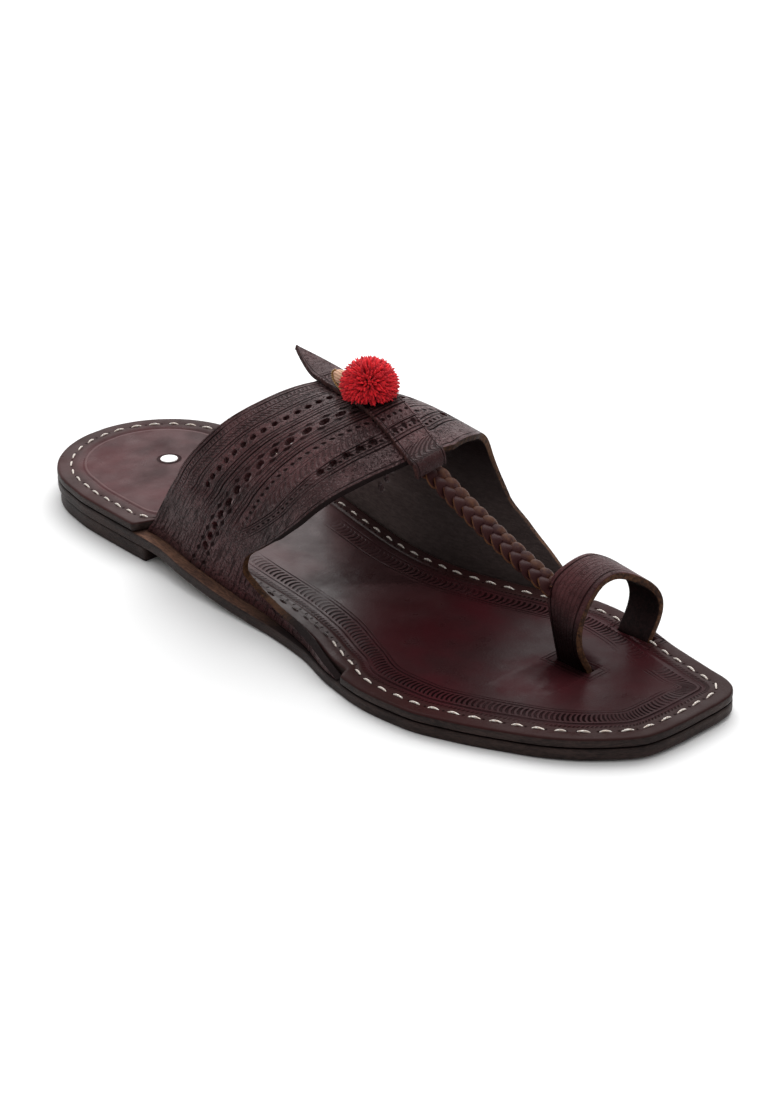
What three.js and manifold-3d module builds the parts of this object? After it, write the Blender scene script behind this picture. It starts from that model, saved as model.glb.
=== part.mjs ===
// A flat leather toe-loop sandal with a braided centre strap, for the right foot.
// Millimetres. X runs to the outer side of the foot, Y to the toe, Z up from the floor.
import * as THREE from 'three';
import Module from 'manifold-3d';
import { mergeVertices } from 'three/addons/utils/BufferGeometryUtils.js';

const wasm = await Module();
wasm.setup();

// Driving sizes of the last
const soleLength = 280;
const ballWidth = 93;
const heelRadius = 35.6;
const instepHeight = 60;
const toeSpring = 1;
const toeSpringLength = 45;

// Driving sizes of the sole
const outsoleThickness = 3.8;
const insoleThickness = 3;
const heelLiftHeight = 5;
const heelLength = 74;
const waistLength = 76;
const heelInset = 0.5;
const seamGap = 0.3;
const curvedGap = 0.45;

// Driving sizes of the straps
const strapWall = 2.2;
const weltLedge = 4.2;
const weltLedgeFront = 0.6;
const overlayWall = 1.6;
const overlayWidth = 15;
const overlayEndWidth = 12;
const earLength = 17;
const earRise = 4;
const tabDrop = 3;
const loopWidth = 12.5;
const loopShoulder = 4;
const loopWall = 2.4;
const loopSpan = 27.4;
const loopHeight = 27;
const loopLean = 5;
const loopDip = 2.4;
const slotClearance = 0.4;
const footClearance = 0.8;
const braidWidth = 9;
const braidThickness = 3.6;
const braidRelief = 1.1;
const braidPitch = 4.1;
const braidSag = 3;

// Driving sizes of the ornament
const pompomDiameter = 17.5;
const lockLength = 1.4;
const lockWidth = 3;
const lockCount = 44;
const beadDiameter = 5;
const beadLength = 5.5;
const beadLift = 0.35;

// Driving sizes of the punched rows
const roundHole = 1.9;
const leafHole = 2.3;
const leafStretch = 1.35;
const rearRow = 16;
const middleRow = 29;
const frontRow = 12.5;

// Places on the last, as shares of the sole's length or of the ball's width
const loopAlong = 0.822;
const loopAcross = -0.252;
const loopBulge = { medial: 0.58, lateral: 0.06 };
const loopFlare = 0.26;
const braidEnd = 0.74;
const stripLine = { rear: -0.19, front: -0.02 };
const pompomAlong = 0.52;
const beadAlong = 0.47;
const beadAside = 0.052;

// The sole's outline: along is a share of the length, the rest of the ball's width
const outlineRows = [
  { along: 0.1, medial: -0.49, lateral: 0.259 },
  { along: 0.143, medial: -0.503, lateral: 0.286 },
  { along: 0.214, medial: -0.507, lateral: 0.302 },
  { along: 0.286, medial: -0.498, lateral: 0.316 },
  { along: 0.357, medial: -0.474, lateral: 0.352 },
  { along: 0.429, medial: -0.446, lateral: 0.368 },
  { along: 0.5, medial: -0.423, lateral: 0.373 },
  { along: 0.571, medial: -0.416, lateral: 0.402 },
  { along: 0.643, medial: -0.439, lateral: 0.468 },
  { along: 0.714, medial: -0.484, lateral: 0.5 },
  { along: 0.768, medial: -0.499, lateral: 0.49 },
  { along: 0.821, medial: -0.48, lateral: 0.443 },
  { along: 0.879, medial: -0.432, lateral: 0.368 },
  { along: 0.914, medial: -0.408, lateral: 0.316 },
  { along: 0.945, medial: -0.387, lateral: 0.252 },
  { along: 0.968, medial: -0.372, lateral: 0.187 },
  { along: 0.984, medial: -0.348, lateral: 0.131 },
  { along: 0.993, medial: -0.316, lateral: 0.085 },
  { along: 0.998, medial: -0.28, lateral: 0.016 },
  { along: 1, medial: -0.226, lateral: -0.065 },
];

// The last over the instep: crest is a share of the instep's height, the rest of the ball's width
const instepRows = [
  { along: 0.24, crest: 0.87, ridge: -0.06, medialFlare: 0, lateralFlare: 0.02 },
  { along: 0.35, crest: 0.96, ridge: -0.082, medialFlare: 0, lateralFlare: 0.025 },
  { along: 0.43, crest: 1.01, ridge: -0.103, medialFlare: 0.02, lateralFlare: 0.035 },
  { along: 0.53, crest: 1.06, ridge: -0.133, medialFlare: 0.075, lateralFlare: 0.055 },
  { along: 0.63, crest: 0.95, ridge: -0.16, medialFlare: 0.11, lateralFlare: 0.075 },
  { along: 0.74, crest: 0.74, ridge: -0.19, medialFlare: 0.06, lateralFlare: 0.04 },
];
const medialRoundness = 2.8;
const lateralRoundness = 2.4;

// The instep strap's two edges: girth runs from the crest, 0, down to the sole, 1
const medialCut = [
  { girth: 0, rear: 0.422, front: 0.63 },
  { girth: 0.16, rear: 0.426, front: 0.621 },
  { girth: 0.3, rear: 0.419, front: 0.603 },
  { girth: 0.45, rear: 0.384, front: 0.594 },
  { girth: 0.63, rear: 0.352, front: 0.612 },
  { girth: 0.73, rear: 0.338, front: 0.645 },
  { girth: 0.83, rear: 0.324, front: 0.682 },
  { girth: 0.92, rear: 0.312, front: 0.711 },
  { girth: 1, rear: 0.302, front: 0.732 },
];
const lateralCut = [
  { girth: 0, rear: 0.422, front: 0.63 },
  { girth: 0.2, rear: 0.4, front: 0.62 },
  { girth: 0.37, rear: 0.369, front: 0.599 },
  { girth: 0.55, rear: 0.336, front: 0.563 },
  { girth: 0.66, rear: 0.318, front: 0.523 },
  { girth: 0.74, rear: 0.304, front: 0.487 },
  { girth: 0.81, rear: 0.291, front: 0.461 },
  { girth: 0.87, rear: 0.28, front: 0.455 },
  { girth: 0.92, rear: 0.271, front: 0.478 },
  { girth: 0.95, rear: 0.265, front: 0.518 },
  { girth: 0.965, rear: 0.261, front: 0.62 },
  { girth: 1, rear: 0.254, front: 0.657 },
];

// A smooth curve through one column of a table
function column(rows, key, name) {
  const x = rows.map((row) => row[key]);
  const y = rows.map((row) => row[name]);
  const rise = x.slice(1).map((value, i) => (y[i + 1] - y[i]) / (value - x[i]));
  const slope = x.map((value, i) => {
    if (i === 0) return rise[0];
    if (i === x.length - 1) return rise[i - 1];
    if (rise[i - 1] * rise[i] <= 0) return 0;
    return (2 * rise[i - 1] * rise[i]) / (rise[i - 1] + rise[i]);
  });
  return (at) => {
    const place = Math.min(Math.max(at, x[0]), x[x.length - 1]);
    let i = 0;
    while (i < x.length - 2 && place > x[i + 1]) i += 1;
    const step = x[i + 1] - x[i];
    const t = (place - x[i]) / step;
    const bend = slope[i] * (1 - t) ** 2 * t - slope[i + 1] * t ** 2 * (1 - t);
    return y[i] * (1 + 2 * t) * (1 - t) ** 2 + y[i + 1] * t ** 2 * (3 - 2 * t) + bend * step;
  };
}

function ease(from, to, at) {
  const t = Math.min(Math.max((at - from) / (to - from), 0), 1);
  return t * t * (3 - 2 * t);
}

// Outline and heights of the sole
const tableEdge = {
  medial: column(outlineRows, 'along', 'medial'),
  lateral: column(outlineRows, 'along', 'lateral'),
};
const heelCentre = ballWidth * (outlineRows[0].medial + outlineRows[0].lateral) / 2;

function soleEdge(side, y) {
  const sign = side === 'medial' ? -1 : 1;
  const arcEnd = soleLength * outlineRows[0].along;
  if (y < arcEnd) {
    const seat = ballWidth * (outlineRows[0].lateral - outlineRows[0].medial) / 2;
    const full = Math.sqrt(heelRadius ** 2 - (heelRadius - arcEnd) ** 2);
    const reach = Math.sqrt(Math.max(heelRadius ** 2 - (heelRadius - y) ** 2, 0));
    return heelCentre + sign * reach * seat / full;
  }
  return ballWidth * tableEdge[side](y / soleLength);
}

function underside(y) {
  const heel = heelLiftHeight + seamGap;
  const ramp = heel * (1 - ease(heelLength, heelLength + waistLength, y));
  const spring = ease(soleLength - toeSpringLength, soleLength + toeSpringLength, y);
  return ramp + 2 * toeSpring * spring;
}

const outsoleTop = (y) => underside(y) + outsoleThickness;
const insoleBottom = (y) => outsoleTop(y) + seamGap;
const insoleTop = (y) => insoleBottom(y) + insoleThickness;

// A closed skin from two sheets of points, an outer and an inner one
function shell(across, along, outer, inner) {
  const points = [];
  const faces = [];
  const spot = (i, j, under) => (under ? (across + 1) * (along + 1) : 0) + i * (along + 1) + j;
  for (const sheet of [outer, inner]) {
    for (let i = 0; i <= across; i += 1) {
      for (let j = 0; j <= along; j += 1) points.push(...sheet(i / across, j / along));
    }
  }
  const quad = (a, b, c, d) => faces.push(a, b, c, a, c, d);
  for (let i = 0; i < across; i += 1) {
    for (let j = 0; j < along; j += 1) {
      quad(spot(i, j), spot(i + 1, j), spot(i + 1, j + 1), spot(i, j + 1));
      quad(spot(i, j, 1), spot(i, j + 1, 1), spot(i + 1, j + 1, 1), spot(i + 1, j, 1));
    }
    quad(spot(i, 0), spot(i, 0, 1), spot(i + 1, 0, 1), spot(i + 1, 0));
    quad(spot(i, along), spot(i + 1, along), spot(i + 1, along, 1), spot(i, along, 1));
  }
  for (let j = 0; j < along; j += 1) {
    quad(spot(0, j), spot(0, j + 1), spot(0, j + 1, 1), spot(0, j, 1));
    quad(spot(across, j), spot(across, j, 1), spot(across, j + 1, 1), spot(across, j + 1));
  }
  return outward(new Float32Array(points), faces);
}

// A geometry whose faces all point out of the body
function outward(points, faces) {
  const corner = (k) => new THREE.Vector3().fromArray(points, 3 * k);
  let volume = 0;
  for (let k = 0; k < faces.length; k += 3) {
    volume += corner(faces[k]).dot(corner(faces[k + 1]).cross(corner(faces[k + 2])));
  }
  const order = volume > 0 ? faces : faces.slice().reverse();
  const geometry = new THREE.BufferGeometry();
  geometry.setAttribute('position', new THREE.BufferAttribute(points, 3));
  geometry.setIndex(order);
  return geometry;
}

function toSolid(geometry) {
  const bare = geometry.clone();
  bare.deleteAttribute('normal');
  bare.deleteAttribute('uv');
  const merged = mergeVertices(bare, 1e-4);
  return new wasm.Manifold(new wasm.Mesh({
    numProp: 3,
    vertProperties: new Float32Array(merged.attributes.position.array),
    triVerts: new Uint32Array(merged.index.array),
  }));
}

function toGeometry(solid) {
  const mesh = solid.getMesh();
  const geometry = new THREE.BufferGeometry();
  geometry.setAttribute('position', new THREE.BufferAttribute(mesh.vertProperties, 3));
  geometry.setIndex(new THREE.BufferAttribute(mesh.triVerts, 1));
  return geometry;
}

// A layer of the sole between two edges and two heights, all functions of the length
function soleLayer(stations, medial, lateral, bottom, top) {
  const last = stations.length - 1;
  const place = (share) => stations[Math.round(share * last)];
  const sheet = (height) => (side, share) => {
    const y = place(share);
    const x = side < 0.5 ? medial(y) : lateral(y);
    return [x, y, height(y)];
  };
  return shell(1, last, sheet(top), sheet(bottom));
}

// Stations crowd at the round heel and the toe, where the outline turns
function soleStations(end, steps) {
  const stations = [];
  for (let k = 0; k <= steps; k += 1) {
    const turn = (k / steps) * Math.PI;
    stations.push(end * (1 - Math.cos(turn)) / 2);
  }
  return stations;
}

// The first station stands just inside the round heel, so that no face there is a sliver
const heelStart = 0.15;
const footStations = [heelStart, ...soleStations(soleLength, 54).slice(1)];

function makeOutsole() {
  const medial = (y) => soleEdge('medial', y);
  const lateral = (y) => soleEdge('lateral', y);
  return soleLayer(footStations, medial, lateral, underside, outsoleTop);
}

function makeHeelLift() {
  const first = heelInset + heelStart;
  const stations = soleStations(2 * heelLength, 36).filter((y) => y > 2 * first && y < heelLength);
  const medial = (y) => soleEdge('medial', y - heelInset) + heelInset;
  const lateral = (y) => soleEdge('lateral', y - heelInset) - heelInset;
  const floor = () => 0;
  const top = () => heelLiftHeight;
  return soleLayer([first, ...stations, heelLength], medial, lateral, floor, top);
}

// The instep last: where the strap's outer face lies
const lastColumn = {};
for (const name of ['crest', 'ridge', 'medialFlare', 'lateralFlare']) {
  lastColumn[name] = column(instepRows, 'along', name);
}
const cuts = { medial: medialCut, lateral: lateralCut };
const cutColumn = {};
for (const side of ['medial', 'lateral']) {
  cutColumn[side] = {
    rear: column(cuts[side], 'girth', 'rear'),
    front: column(cuts[side], 'girth', 'front'),
  };
}
const strapEnd = (side) => soleLength * cuts[side][cuts[side].length - 1].front;
const strapStart = (side) => soleLength * cuts[side][cuts[side].length - 1].rear;

function ledge(side, y) {
  const narrowing = ease(strapEnd(side) - 0.2 * soleLength, strapEnd(side) - 0.02 * soleLength, y);
  return weltLedge + (weltLedgeFront - weltLedge) * narrowing;
}

function wallFoot(side, y) {
  const sign = side === 'medial' ? -1 : 1;
  return soleEdge(side, y) - sign * ledge(side, y);
}

function sectionPoint(side, y, turn) {
  const sign = side === 'medial' ? -1 : 1;
  const along = y / soleLength;
  const roundness = side === 'medial' ? medialRoundness : lateralRoundness;
  const base = outsoleTop(y) + seamGap;
  const ridge = ballWidth * lastColumn.ridge(along);
  const crest = instepHeight * lastColumn.crest(along);
  const flare = ballWidth * lastColumn[`${side}Flare`](along);
  const angle = (turn * Math.PI) / 2;
  const reach = Math.abs(Math.cos(angle)) ** (2 / roundness);
  const rise = Math.abs(Math.sin(angle)) ** (2 / roundness);
  const bulge = 1.73 * flare * (1 - turn) * Math.sin(Math.PI * turn);
  const x = ridge + (wallFoot(side, y) - ridge) * reach + sign * bulge;
  return new THREE.Vector3(x, y, base + crest * rise);
}

// The point of a section at a share of its girth, from the crest down to the sole
const sectionSteps = 40;
function girthPoint(side, y, girth) {
  const points = [];
  const lengths = [0];
  for (let k = 0; k <= sectionSteps; k += 1) {
    points.push(sectionPoint(side, y, 1 - (k / sectionSteps) ** 1.2));
    if (k > 0) lengths.push(lengths[k - 1] + points[k].distanceTo(points[k - 1]));
  }
  const goal = girth * lengths[sectionSteps];
  let k = 0;
  while (k < sectionSteps - 1 && lengths[k + 1] < goal) k += 1;
  const share = (goal - lengths[k]) / (lengths[k + 1] - lengths[k]);
  return points[k].clone().lerp(points[k + 1], share);
}

// The strap's outer face: turn is -1 at the medial foot, 1 at the lateral foot, sweep is fore and aft
function strapPoint(turn, sweep) {
  const side = turn < 0 ? 'medial' : 'lateral';
  const girth = Math.abs(turn);
  const rear = soleLength * cutColumn[side].rear(girth);
  const front = soleLength * cutColumn[side].front(girth);
  return girthPoint(side, rear + (front - rear) * sweep, girth);
}

function faceNormal(face, u, v, step = 0.01) {
  const side = face(u + step, v).sub(face(u - step, v));
  const fore = face(u, Math.min(v + step, 1)).sub(face(u, Math.max(v - step, 0)));
  return side.cross(fore).normalize();
}

function strapNormal(turn, sweep) {
  const limit = 0.985;
  const normal = faceNormal(strapPoint, Math.min(Math.max(turn, -limit), limit), sweep);
  if (Math.abs(turn) > limit) normal.setZ(0).normalize();
  return normal;
}

const strapFace = (turn, sweep, out) =>
  strapPoint(turn, sweep).addScaledVector(strapNormal(turn, sweep), out);

const strapAcross = 28;
const strapAlong = 14;
function strapTurn(share) {
  const way = 2 * share - 1;
  const eased = 0.5 * Math.abs(way) + 0.5 * Math.sin((Math.abs(way) * Math.PI) / 2);
  return Math.sign(way) * eased;
}

function makeInstepStrap() {
  const outer = (u, v) => strapFace(strapTurn(u), v, 0).toArray();
  const inner = (u, v) => strapFace(strapTurn(u), v, -strapWall).toArray();
  return toSolid(shell(strapAcross, strapAlong, outer, inner));
}

// Rows of punched holes: inset is measured from one edge of the strap, spots run from turn to turn
const punchedRows = [
  { edge: 'rear', inset: rearRow, from: -0.6, to: 0.6, count: 31, size: roundHole, stretch: 1 },
  { edge: 'rear', inset: middleRow, from: -0.8, to: 0.86, count: 29, size: leafHole, stretch: leafStretch },
  { edge: 'front', inset: frontRow, from: 0.2, to: 0.39, count: 5, size: leafHole, stretch: 1 },
  { edge: 'front', inset: frontRow, from: -0.33, to: -0.14, count: 5, size: leafHole, stretch: 1 },
];

function rowSweep(row, turn) {
  const edges = cutColumn[turn < 0 ? 'medial' : 'lateral'];
  const girth = Math.abs(turn);
  const share = row.inset / (soleLength * (edges.front(girth) - edges.rear(girth)));
  return row.edge === 'rear' ? share : 1 - share;
}

function punch(row, turn) {
  const sides = 6;
  const sweep = rowSweep(row, turn);
  const tool = new THREE.CylinderGeometry(row.size / 2, row.size / 2, 4 * strapWall, sides);
  tool.scale(row.stretch, 1, 1);
  const normal = strapNormal(turn, sweep);
  const side = strapPoint(turn + 0.02, sweep).sub(strapPoint(turn - 0.02, sweep));
  side.normalize();
  const frame = new THREE.Matrix4().makeBasis(side, normal, side.clone().cross(normal));
  frame.setPosition(strapFace(turn, sweep, -strapWall / 2));
  tool.applyMatrix4(frame);
  return toSolid(tool);
}

function punched(strap) {
  let result = strap;
  for (const row of punchedRows) {
    for (let k = 0; k < row.count; k += 1) {
      const turn = row.from + ((row.to - row.from) * k) / (row.count - 1);
      result = result.subtract(punch(row, turn));
    }
  }
  return result;
}

// The toe loop: an arch of strap whose legs stand in slots of the insole
const loopBase = outsoleTop(soleLength * loopAlong) + seamGap;

function loopPoint(turn, sweep, out) {
  const angle = Math.PI * (1 - turn);
  const power = 2 / 2.3;
  const reach = Math.sign(Math.cos(angle)) * Math.abs(Math.cos(angle)) ** power;
  const rise = Math.abs(Math.sin(angle)) ** power;
  const flare = reach > 0 ? loopBulge.lateral + loopFlare * sweep : loopBulge.medial;
  const bulge = 1 + flare * Math.sin(Math.PI * rise);
  const legHeight = insoleThickness + seamGap;
  const height = legHeight + (loopHeight - loopDip * sweep + out) * rise;
  const x = ballWidth * loopAcross + (loopSpan / 2 + out) * reach * bulge;
  const lean = loopLean * (height / (legHeight + loopHeight)) ** 1.3;
  const shoulder = loopShoulder * (1 - sweep) * Math.exp(-(((turn - braidEnd) / 0.13) ** 2));
  const y = soleLength * loopAlong + (sweep - 0.5) * loopWidth - shoulder - lean + loopLean / 2;
  return [x, y, loopBase + height];
}

const loopLeg = (side) => ({
  x: ballWidth * loopAcross + (side * loopSpan) / 2,
  y: soleLength * loopAlong + loopLean / 2,
});

function legSolid(side, grow) {
  const height = insoleThickness + 2 * seamGap + 2 * grow;
  const leg = new THREE.BoxGeometry(loopWall + 2 * grow, loopWidth + 2 * grow, height);
  const { x, y } = loopLeg(side);
  leg.translate(x, y, loopBase + (insoleThickness + 2 * seamGap) / 2);
  return toSolid(leg);
}

function makeToeLoop() {
  const outer = (u, v) => loopPoint(u, v, loopWall / 2);
  const inner = (u, v) => loopPoint(u, v, -loopWall / 2);
  const arch = toSolid(shell(26, 3, outer, inner));
  return arch.add(legSolid(-1, 0)).add(legSolid(1, 0));
}

// The insole, stepped in beside the strap's feet, with two slots
const stepNear = 0.6;
const stepFar = 2.8;

function insoleEdge(side, y) {
  const sign = side === 'medial' ? -1 : 1;
  const rear = ease(strapStart(side) - stepFar, strapStart(side) - stepNear, y);
  const front = 1 - ease(strapEnd(side) + stepNear, strapEnd(side) + stepFar, y);
  const inset = ledge(side, y) + strapWall + footClearance;
  return soleEdge(side, y) - sign * inset * rear * front;
}

function makeInsole() {
  const stations = [...footStations];
  for (const side of ['medial', 'lateral']) {
    for (let k = 0; k <= 3; k += 1) {
      const way = stepNear + (k / 3) * (stepFar - stepNear);
      stations.push(strapStart(side) - way, strapEnd(side) + way);
    }
  }
  stations.sort((a, b) => a - b);
  const medial = (y) => insoleEdge('medial', y);
  const lateral = (y) => insoleEdge('lateral', y);
  const layer = toSolid(soleLayer(stations, medial, lateral, insoleBottom, insoleTop));
  return layer.subtract(legSolid(-1, slotClearance)).subtract(legSolid(1, slotClearance));
}

// The braid: one strap whose strips stand up in a herringbone
function makeBraid() {
  const start = strapFace(0.11, 0.97, -strapWall * 1.5);
  const end = new THREE.Vector3().fromArray(loopPoint(braidEnd, 0.1, 0));
  const sag = start.clone().lerp(end, 0.5).add(new THREE.Vector3(0, 0, -braidSag));
  const path = new THREE.QuadraticBezierCurve3(start, sag, end);
  const rings = Math.round(path.getLength() / braidPitch) * 6;
  const side = new THREE.Vector3(1, 0, 0);
  const ring = [
    [-0.5, -0.1], [-0.5, 0.25], [-0.32, 0.5], [-0.12, 0.42], [0, 0.3],
    [0.12, 0.42], [0.32, 0.5], [0.5, 0.25], [0.5, -0.1], [0.3, -0.5], [-0.3, -0.5],
  ];
  const points = [];
  for (let i = 0; i <= rings; i += 1) {
    const centre = path.getPoint(i / rings);
    const tangent = path.getTangent(i / rings);
    const across = side.clone().addScaledVector(tangent, -side.dot(tangent)).normalize();
    const up = across.clone().cross(tangent).normalize();
    for (const [wide, high] of ring) {
      const turns = (i / rings) * path.getLength() / braidPitch + Math.abs(wide) * 1.6;
      const wave = Math.abs(Math.sin(Math.PI * turns));
      const relief = high > 0 ? braidRelief * (wave - 0.5) : 0;
      const swell = 1 + 0.1 * (wave - 0.5);
      points.push(centre.clone()
        .addScaledVector(across, braidWidth * wide * swell)
        .addScaledVector(up, braidThickness * high + relief));
    }
  }
  return toSolid(tubeOf(points, ring.length));
}

// A closed tube from rings of points, with a fan over each end
function tubeOf(points, count) {
  const rings = points.length / count;
  const faces = [];
  for (let i = 0; i < rings - 1; i += 1) {
    for (let k = 0; k < count; k += 1) {
      const next = (k + 1) % count;
      const a = i * count + k;
      const b = i * count + next;
      faces.push(a, b, b + count, a, b + count, a + count);
    }
  }
  const middle = (first) => {
    const sum = new THREE.Vector3();
    for (let k = 0; k < count; k += 1) sum.add(points[first + k]);
    return sum.divideScalar(count);
  };
  const all = [...points, middle(0), middle((rings - 1) * count)];
  for (let k = 0; k < count; k += 1) {
    const next = (k + 1) % count;
    const tail = (rings - 1) * count;
    faces.push(points.length, next, k, points.length + 1, tail + k, tail + next);
  }
  return outward(new Float32Array(all.flatMap((point) => point.toArray())), faces);
}

// Height of the strap's outer face over any spot near the crest
function crestHeight(x, y) {
  const ridge = ballWidth * lastColumn.ridge(y / soleLength);
  const side = x < ridge ? 'medial' : 'lateral';
  let low = 0;
  let high = 1;
  for (let k = 0; k < 24; k += 1) {
    const middle = (low + high) / 2;
    const reach = Math.abs(sectionPoint(side, y, 1 - middle).x - ridge);
    if (reach < Math.abs(x - ridge)) low = middle;
    else high = middle;
  }
  return sectionPoint(side, y, 1 - low).z;
}

const crestRear = soleLength * medialCut[0].rear;
const crestFront = soleLength * medialCut[0].front;

function stripCentre(y) {
  const t = (y - crestRear) / (crestFront - crestRear);
  return ballWidth * (stripLine.rear + (stripLine.front - stripLine.rear) * t);
}

// The centre strip: a pointed ear behind, a flat run on the crest, a rolled tab in front
const earShare = 0.3;
const tabShare = 0.86;

function stripPoint(u, v, out) {
  const wide = u - 0.5;
  const lift = curvedGap + out;
  if (v < earShare) {
    const t = 1 - v / earShare;
    const width = overlayWidth * Math.max(1 - t ** 1.25, 0.04);
    const x = stripCentre(crestRear) + width * wide;
    const root = crestHeight(stripCentre(crestRear) + overlayWidth * wide * (1 - t), crestRear);
    return [x, crestRear - earLength * t, root + lift + earRise * t ** 1.5];
  }
  const width = overlayWidth + (overlayEndWidth - overlayWidth) * (v - earShare) / (1 - earShare);
  if (v < tabShare) {
    const y = crestRear + (crestFront - crestRear) * (v - earShare) / (tabShare - earShare);
    const x = stripCentre(y) + width * wide;
    return [x, y, crestHeight(x, y) + lift];
  }
  const t = (v - tabShare) / (1 - tabShare);
  const x = stripCentre(crestFront) + width * wide;
  const edge = crestHeight(x, crestFront);
  const angle = (t * Math.PI) / 2;
  const roll = tabDrop * 0.45;
  const y = crestFront + (roll + lift) * Math.sin(angle);
  return [x, y, edge - roll + (roll + lift) * Math.cos(angle) - (tabDrop - roll) * t ** 3];
}

function makeCentreStrip() {
  const outer = (u, v) => stripPoint(u, v, overlayWall);
  const inner = (u, v) => stripPoint(u, v, 0);
  return shell(4, 28, outer, inner);
}

// The pompom: a ball with locks of yarn fused on, flat where it sits on the strip
const stripTop = (y) => crestHeight(stripCentre(y), y) + curvedGap + overlayWall;
const pompomCentre = new THREE.Vector3(
  stripCentre(soleLength * pompomAlong) + 0.02 * ballWidth,
  soleLength * pompomAlong,
  stripTop(soleLength * pompomAlong) + 0.26 * pompomDiameter,
);

function seatCutter() {
  const reach = pompomDiameter;
  const sheet = (depth) => (u, v) => {
    const x = pompomCentre.x + (u - 0.5) * 2 * reach;
    const y = pompomCentre.y + (v - 0.5) * 2 * reach;
    return [x, y, crestHeight(x, y) + depth];
  };
  return toSolid(shell(8, 6, sheet(overlayWall + 2 * curvedGap), sheet(-reach)));
}

function makePompom() {
  const ball = new THREE.IcosahedronGeometry(pompomDiameter / 2, 3);
  ball.translate(...pompomCentre.toArray());
  let body = toSolid(ball);
  const golden = Math.PI * (3 - Math.sqrt(5));
  for (let k = 0; k < lockCount; k += 1) {
    const height = 1 - (2 * (k + 0.5)) / lockCount;
    const ring = Math.sqrt(1 - height ** 2);
    const way = new THREE.Vector3(ring * Math.cos(k * golden), ring * Math.sin(k * golden), height);
    const lock = new THREE.CylinderGeometry(lockWidth * 0.32, lockWidth / 2, lockLength * 2, 4);
    lock.applyQuaternion(new THREE.Quaternion().setFromUnitVectors(new THREE.Vector3(0, 1, 0), way));
    const seat = pompomCentre.clone().addScaledVector(way, pompomDiameter / 2 - lockLength * 0.15);
    lock.translate(...seat.toArray());
    body = body.add(toSolid(lock));
  }
  return toGeometry(body.subtract(seatCutter()));
}

// The bead of wound thread at the pompom's neck, a barrel lying along the strip
function makeBead() {
  const profile = [];
  const steps = 5;
  for (let k = 0; k <= steps; k += 1) {
    const t = (2 * k) / steps - 1;
    profile.push(new THREE.Vector2((beadDiameter / 2) * Math.sqrt(1 - 0.45 * t * t), (t * beadLength) / 2));
  }
  const closed = [new THREE.Vector2(0, -beadLength / 2), ...profile, new THREE.Vector2(0, beadLength / 2)];
  const bead = new THREE.LatheGeometry(closed, 14);
  const y = soleLength * beadAlong;
  const x = stripCentre(y) + ballWidth * beadAside;
  bead.translate(x, y, stripTop(y) + beadLift + beadDiameter / 2);
  return bead;
}

const leather = (color) => new THREE.MeshStandardMaterial({ color, roughness: 0.5, metalness: 0 });
const darkLeather = leather(0x33201f);
const soleLeather = leather(0x2c2327);
const strapLeather = leather(0x3a2523);
const yarn = new THREE.MeshStandardMaterial({ color: 0xb9141b, roughness: 0.95, metalness: 0 });
const thread = new THREE.MeshStandardMaterial({ color: 0xcf9d6b, roughness: 0.8, metalness: 0 });

const sandal = new THREE.Group();

function piece(name, geometry, material) {
  const mesh = new THREE.Mesh(geometry, material);
  mesh.name = name;
  sandal.add(mesh);
  return mesh;
}

piece('outsole', makeOutsole(), soleLeather);
piece('heel_lift', makeHeelLift(), soleLeather);
piece('insole', toGeometry(makeInsole()), darkLeather);
const upper = punched(makeInstepStrap()).add(makeToeLoop()).add(makeBraid());
piece('upper', toGeometry(upper), strapLeather);
piece('centre_strip', makeCentreStrip(), strapLeather);
piece('pompom', makePompom(), yarn);
piece('neck_bead', makeBead(), thread);

// The origin is the middle of the sandal's footprint, on the floor
const bounds = new THREE.Box3().setFromObject(sandal);
const middle = bounds.getCenter(new THREE.Vector3());
sandal.position.set(-middle.x, -middle.y, -bounds.min.z);
sandal.updateMatrixWorld(true);

export default sandal;
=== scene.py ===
# %% [markdown]
# # A hand-made leather sandal with a braided strap and a red pompom
#
# The real sandal is cut from a few sheets of dyed leather: two layers of sole
# with a heel lift, one wide instep strap, a toe loop, a braid between them, and
# a pompom tied on top. The CAD frame already holds each piece at its real size.
# This lesson dresses it: every surface is modelled again with soft edges, real
# stitches and strands, in the same place, and gets a procedural finish.

# %% Load the frame
import math
import random

import bmesh
import bpy
import numpy as np
from mathutils import Matrix, Vector


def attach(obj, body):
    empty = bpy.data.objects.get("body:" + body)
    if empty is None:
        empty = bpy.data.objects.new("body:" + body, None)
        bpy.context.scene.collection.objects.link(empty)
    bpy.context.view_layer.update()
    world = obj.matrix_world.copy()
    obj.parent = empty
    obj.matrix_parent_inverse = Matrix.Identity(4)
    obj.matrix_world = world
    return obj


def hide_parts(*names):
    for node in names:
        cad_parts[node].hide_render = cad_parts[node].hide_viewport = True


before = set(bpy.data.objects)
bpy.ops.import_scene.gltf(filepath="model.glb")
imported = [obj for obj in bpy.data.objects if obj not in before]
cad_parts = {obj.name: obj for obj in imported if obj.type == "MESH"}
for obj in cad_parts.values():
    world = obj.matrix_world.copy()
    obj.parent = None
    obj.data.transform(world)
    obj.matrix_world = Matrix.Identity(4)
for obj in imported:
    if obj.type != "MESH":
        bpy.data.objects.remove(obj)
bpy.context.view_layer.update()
print("CAD nodes:", sorted(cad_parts))

# %% [markdown]
# A shoemaker measures from the back of the heel, so all sizes here are in
# millimetres from there: X to the outer side, Y to the toe, Z up from the
# floor. One small function turns such a point into Blender's metres.

# %% Sizes of the last, in millimetres
MM = 0.001
SHIFT = np.array([0.3402, -140.075, 0.0])

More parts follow.
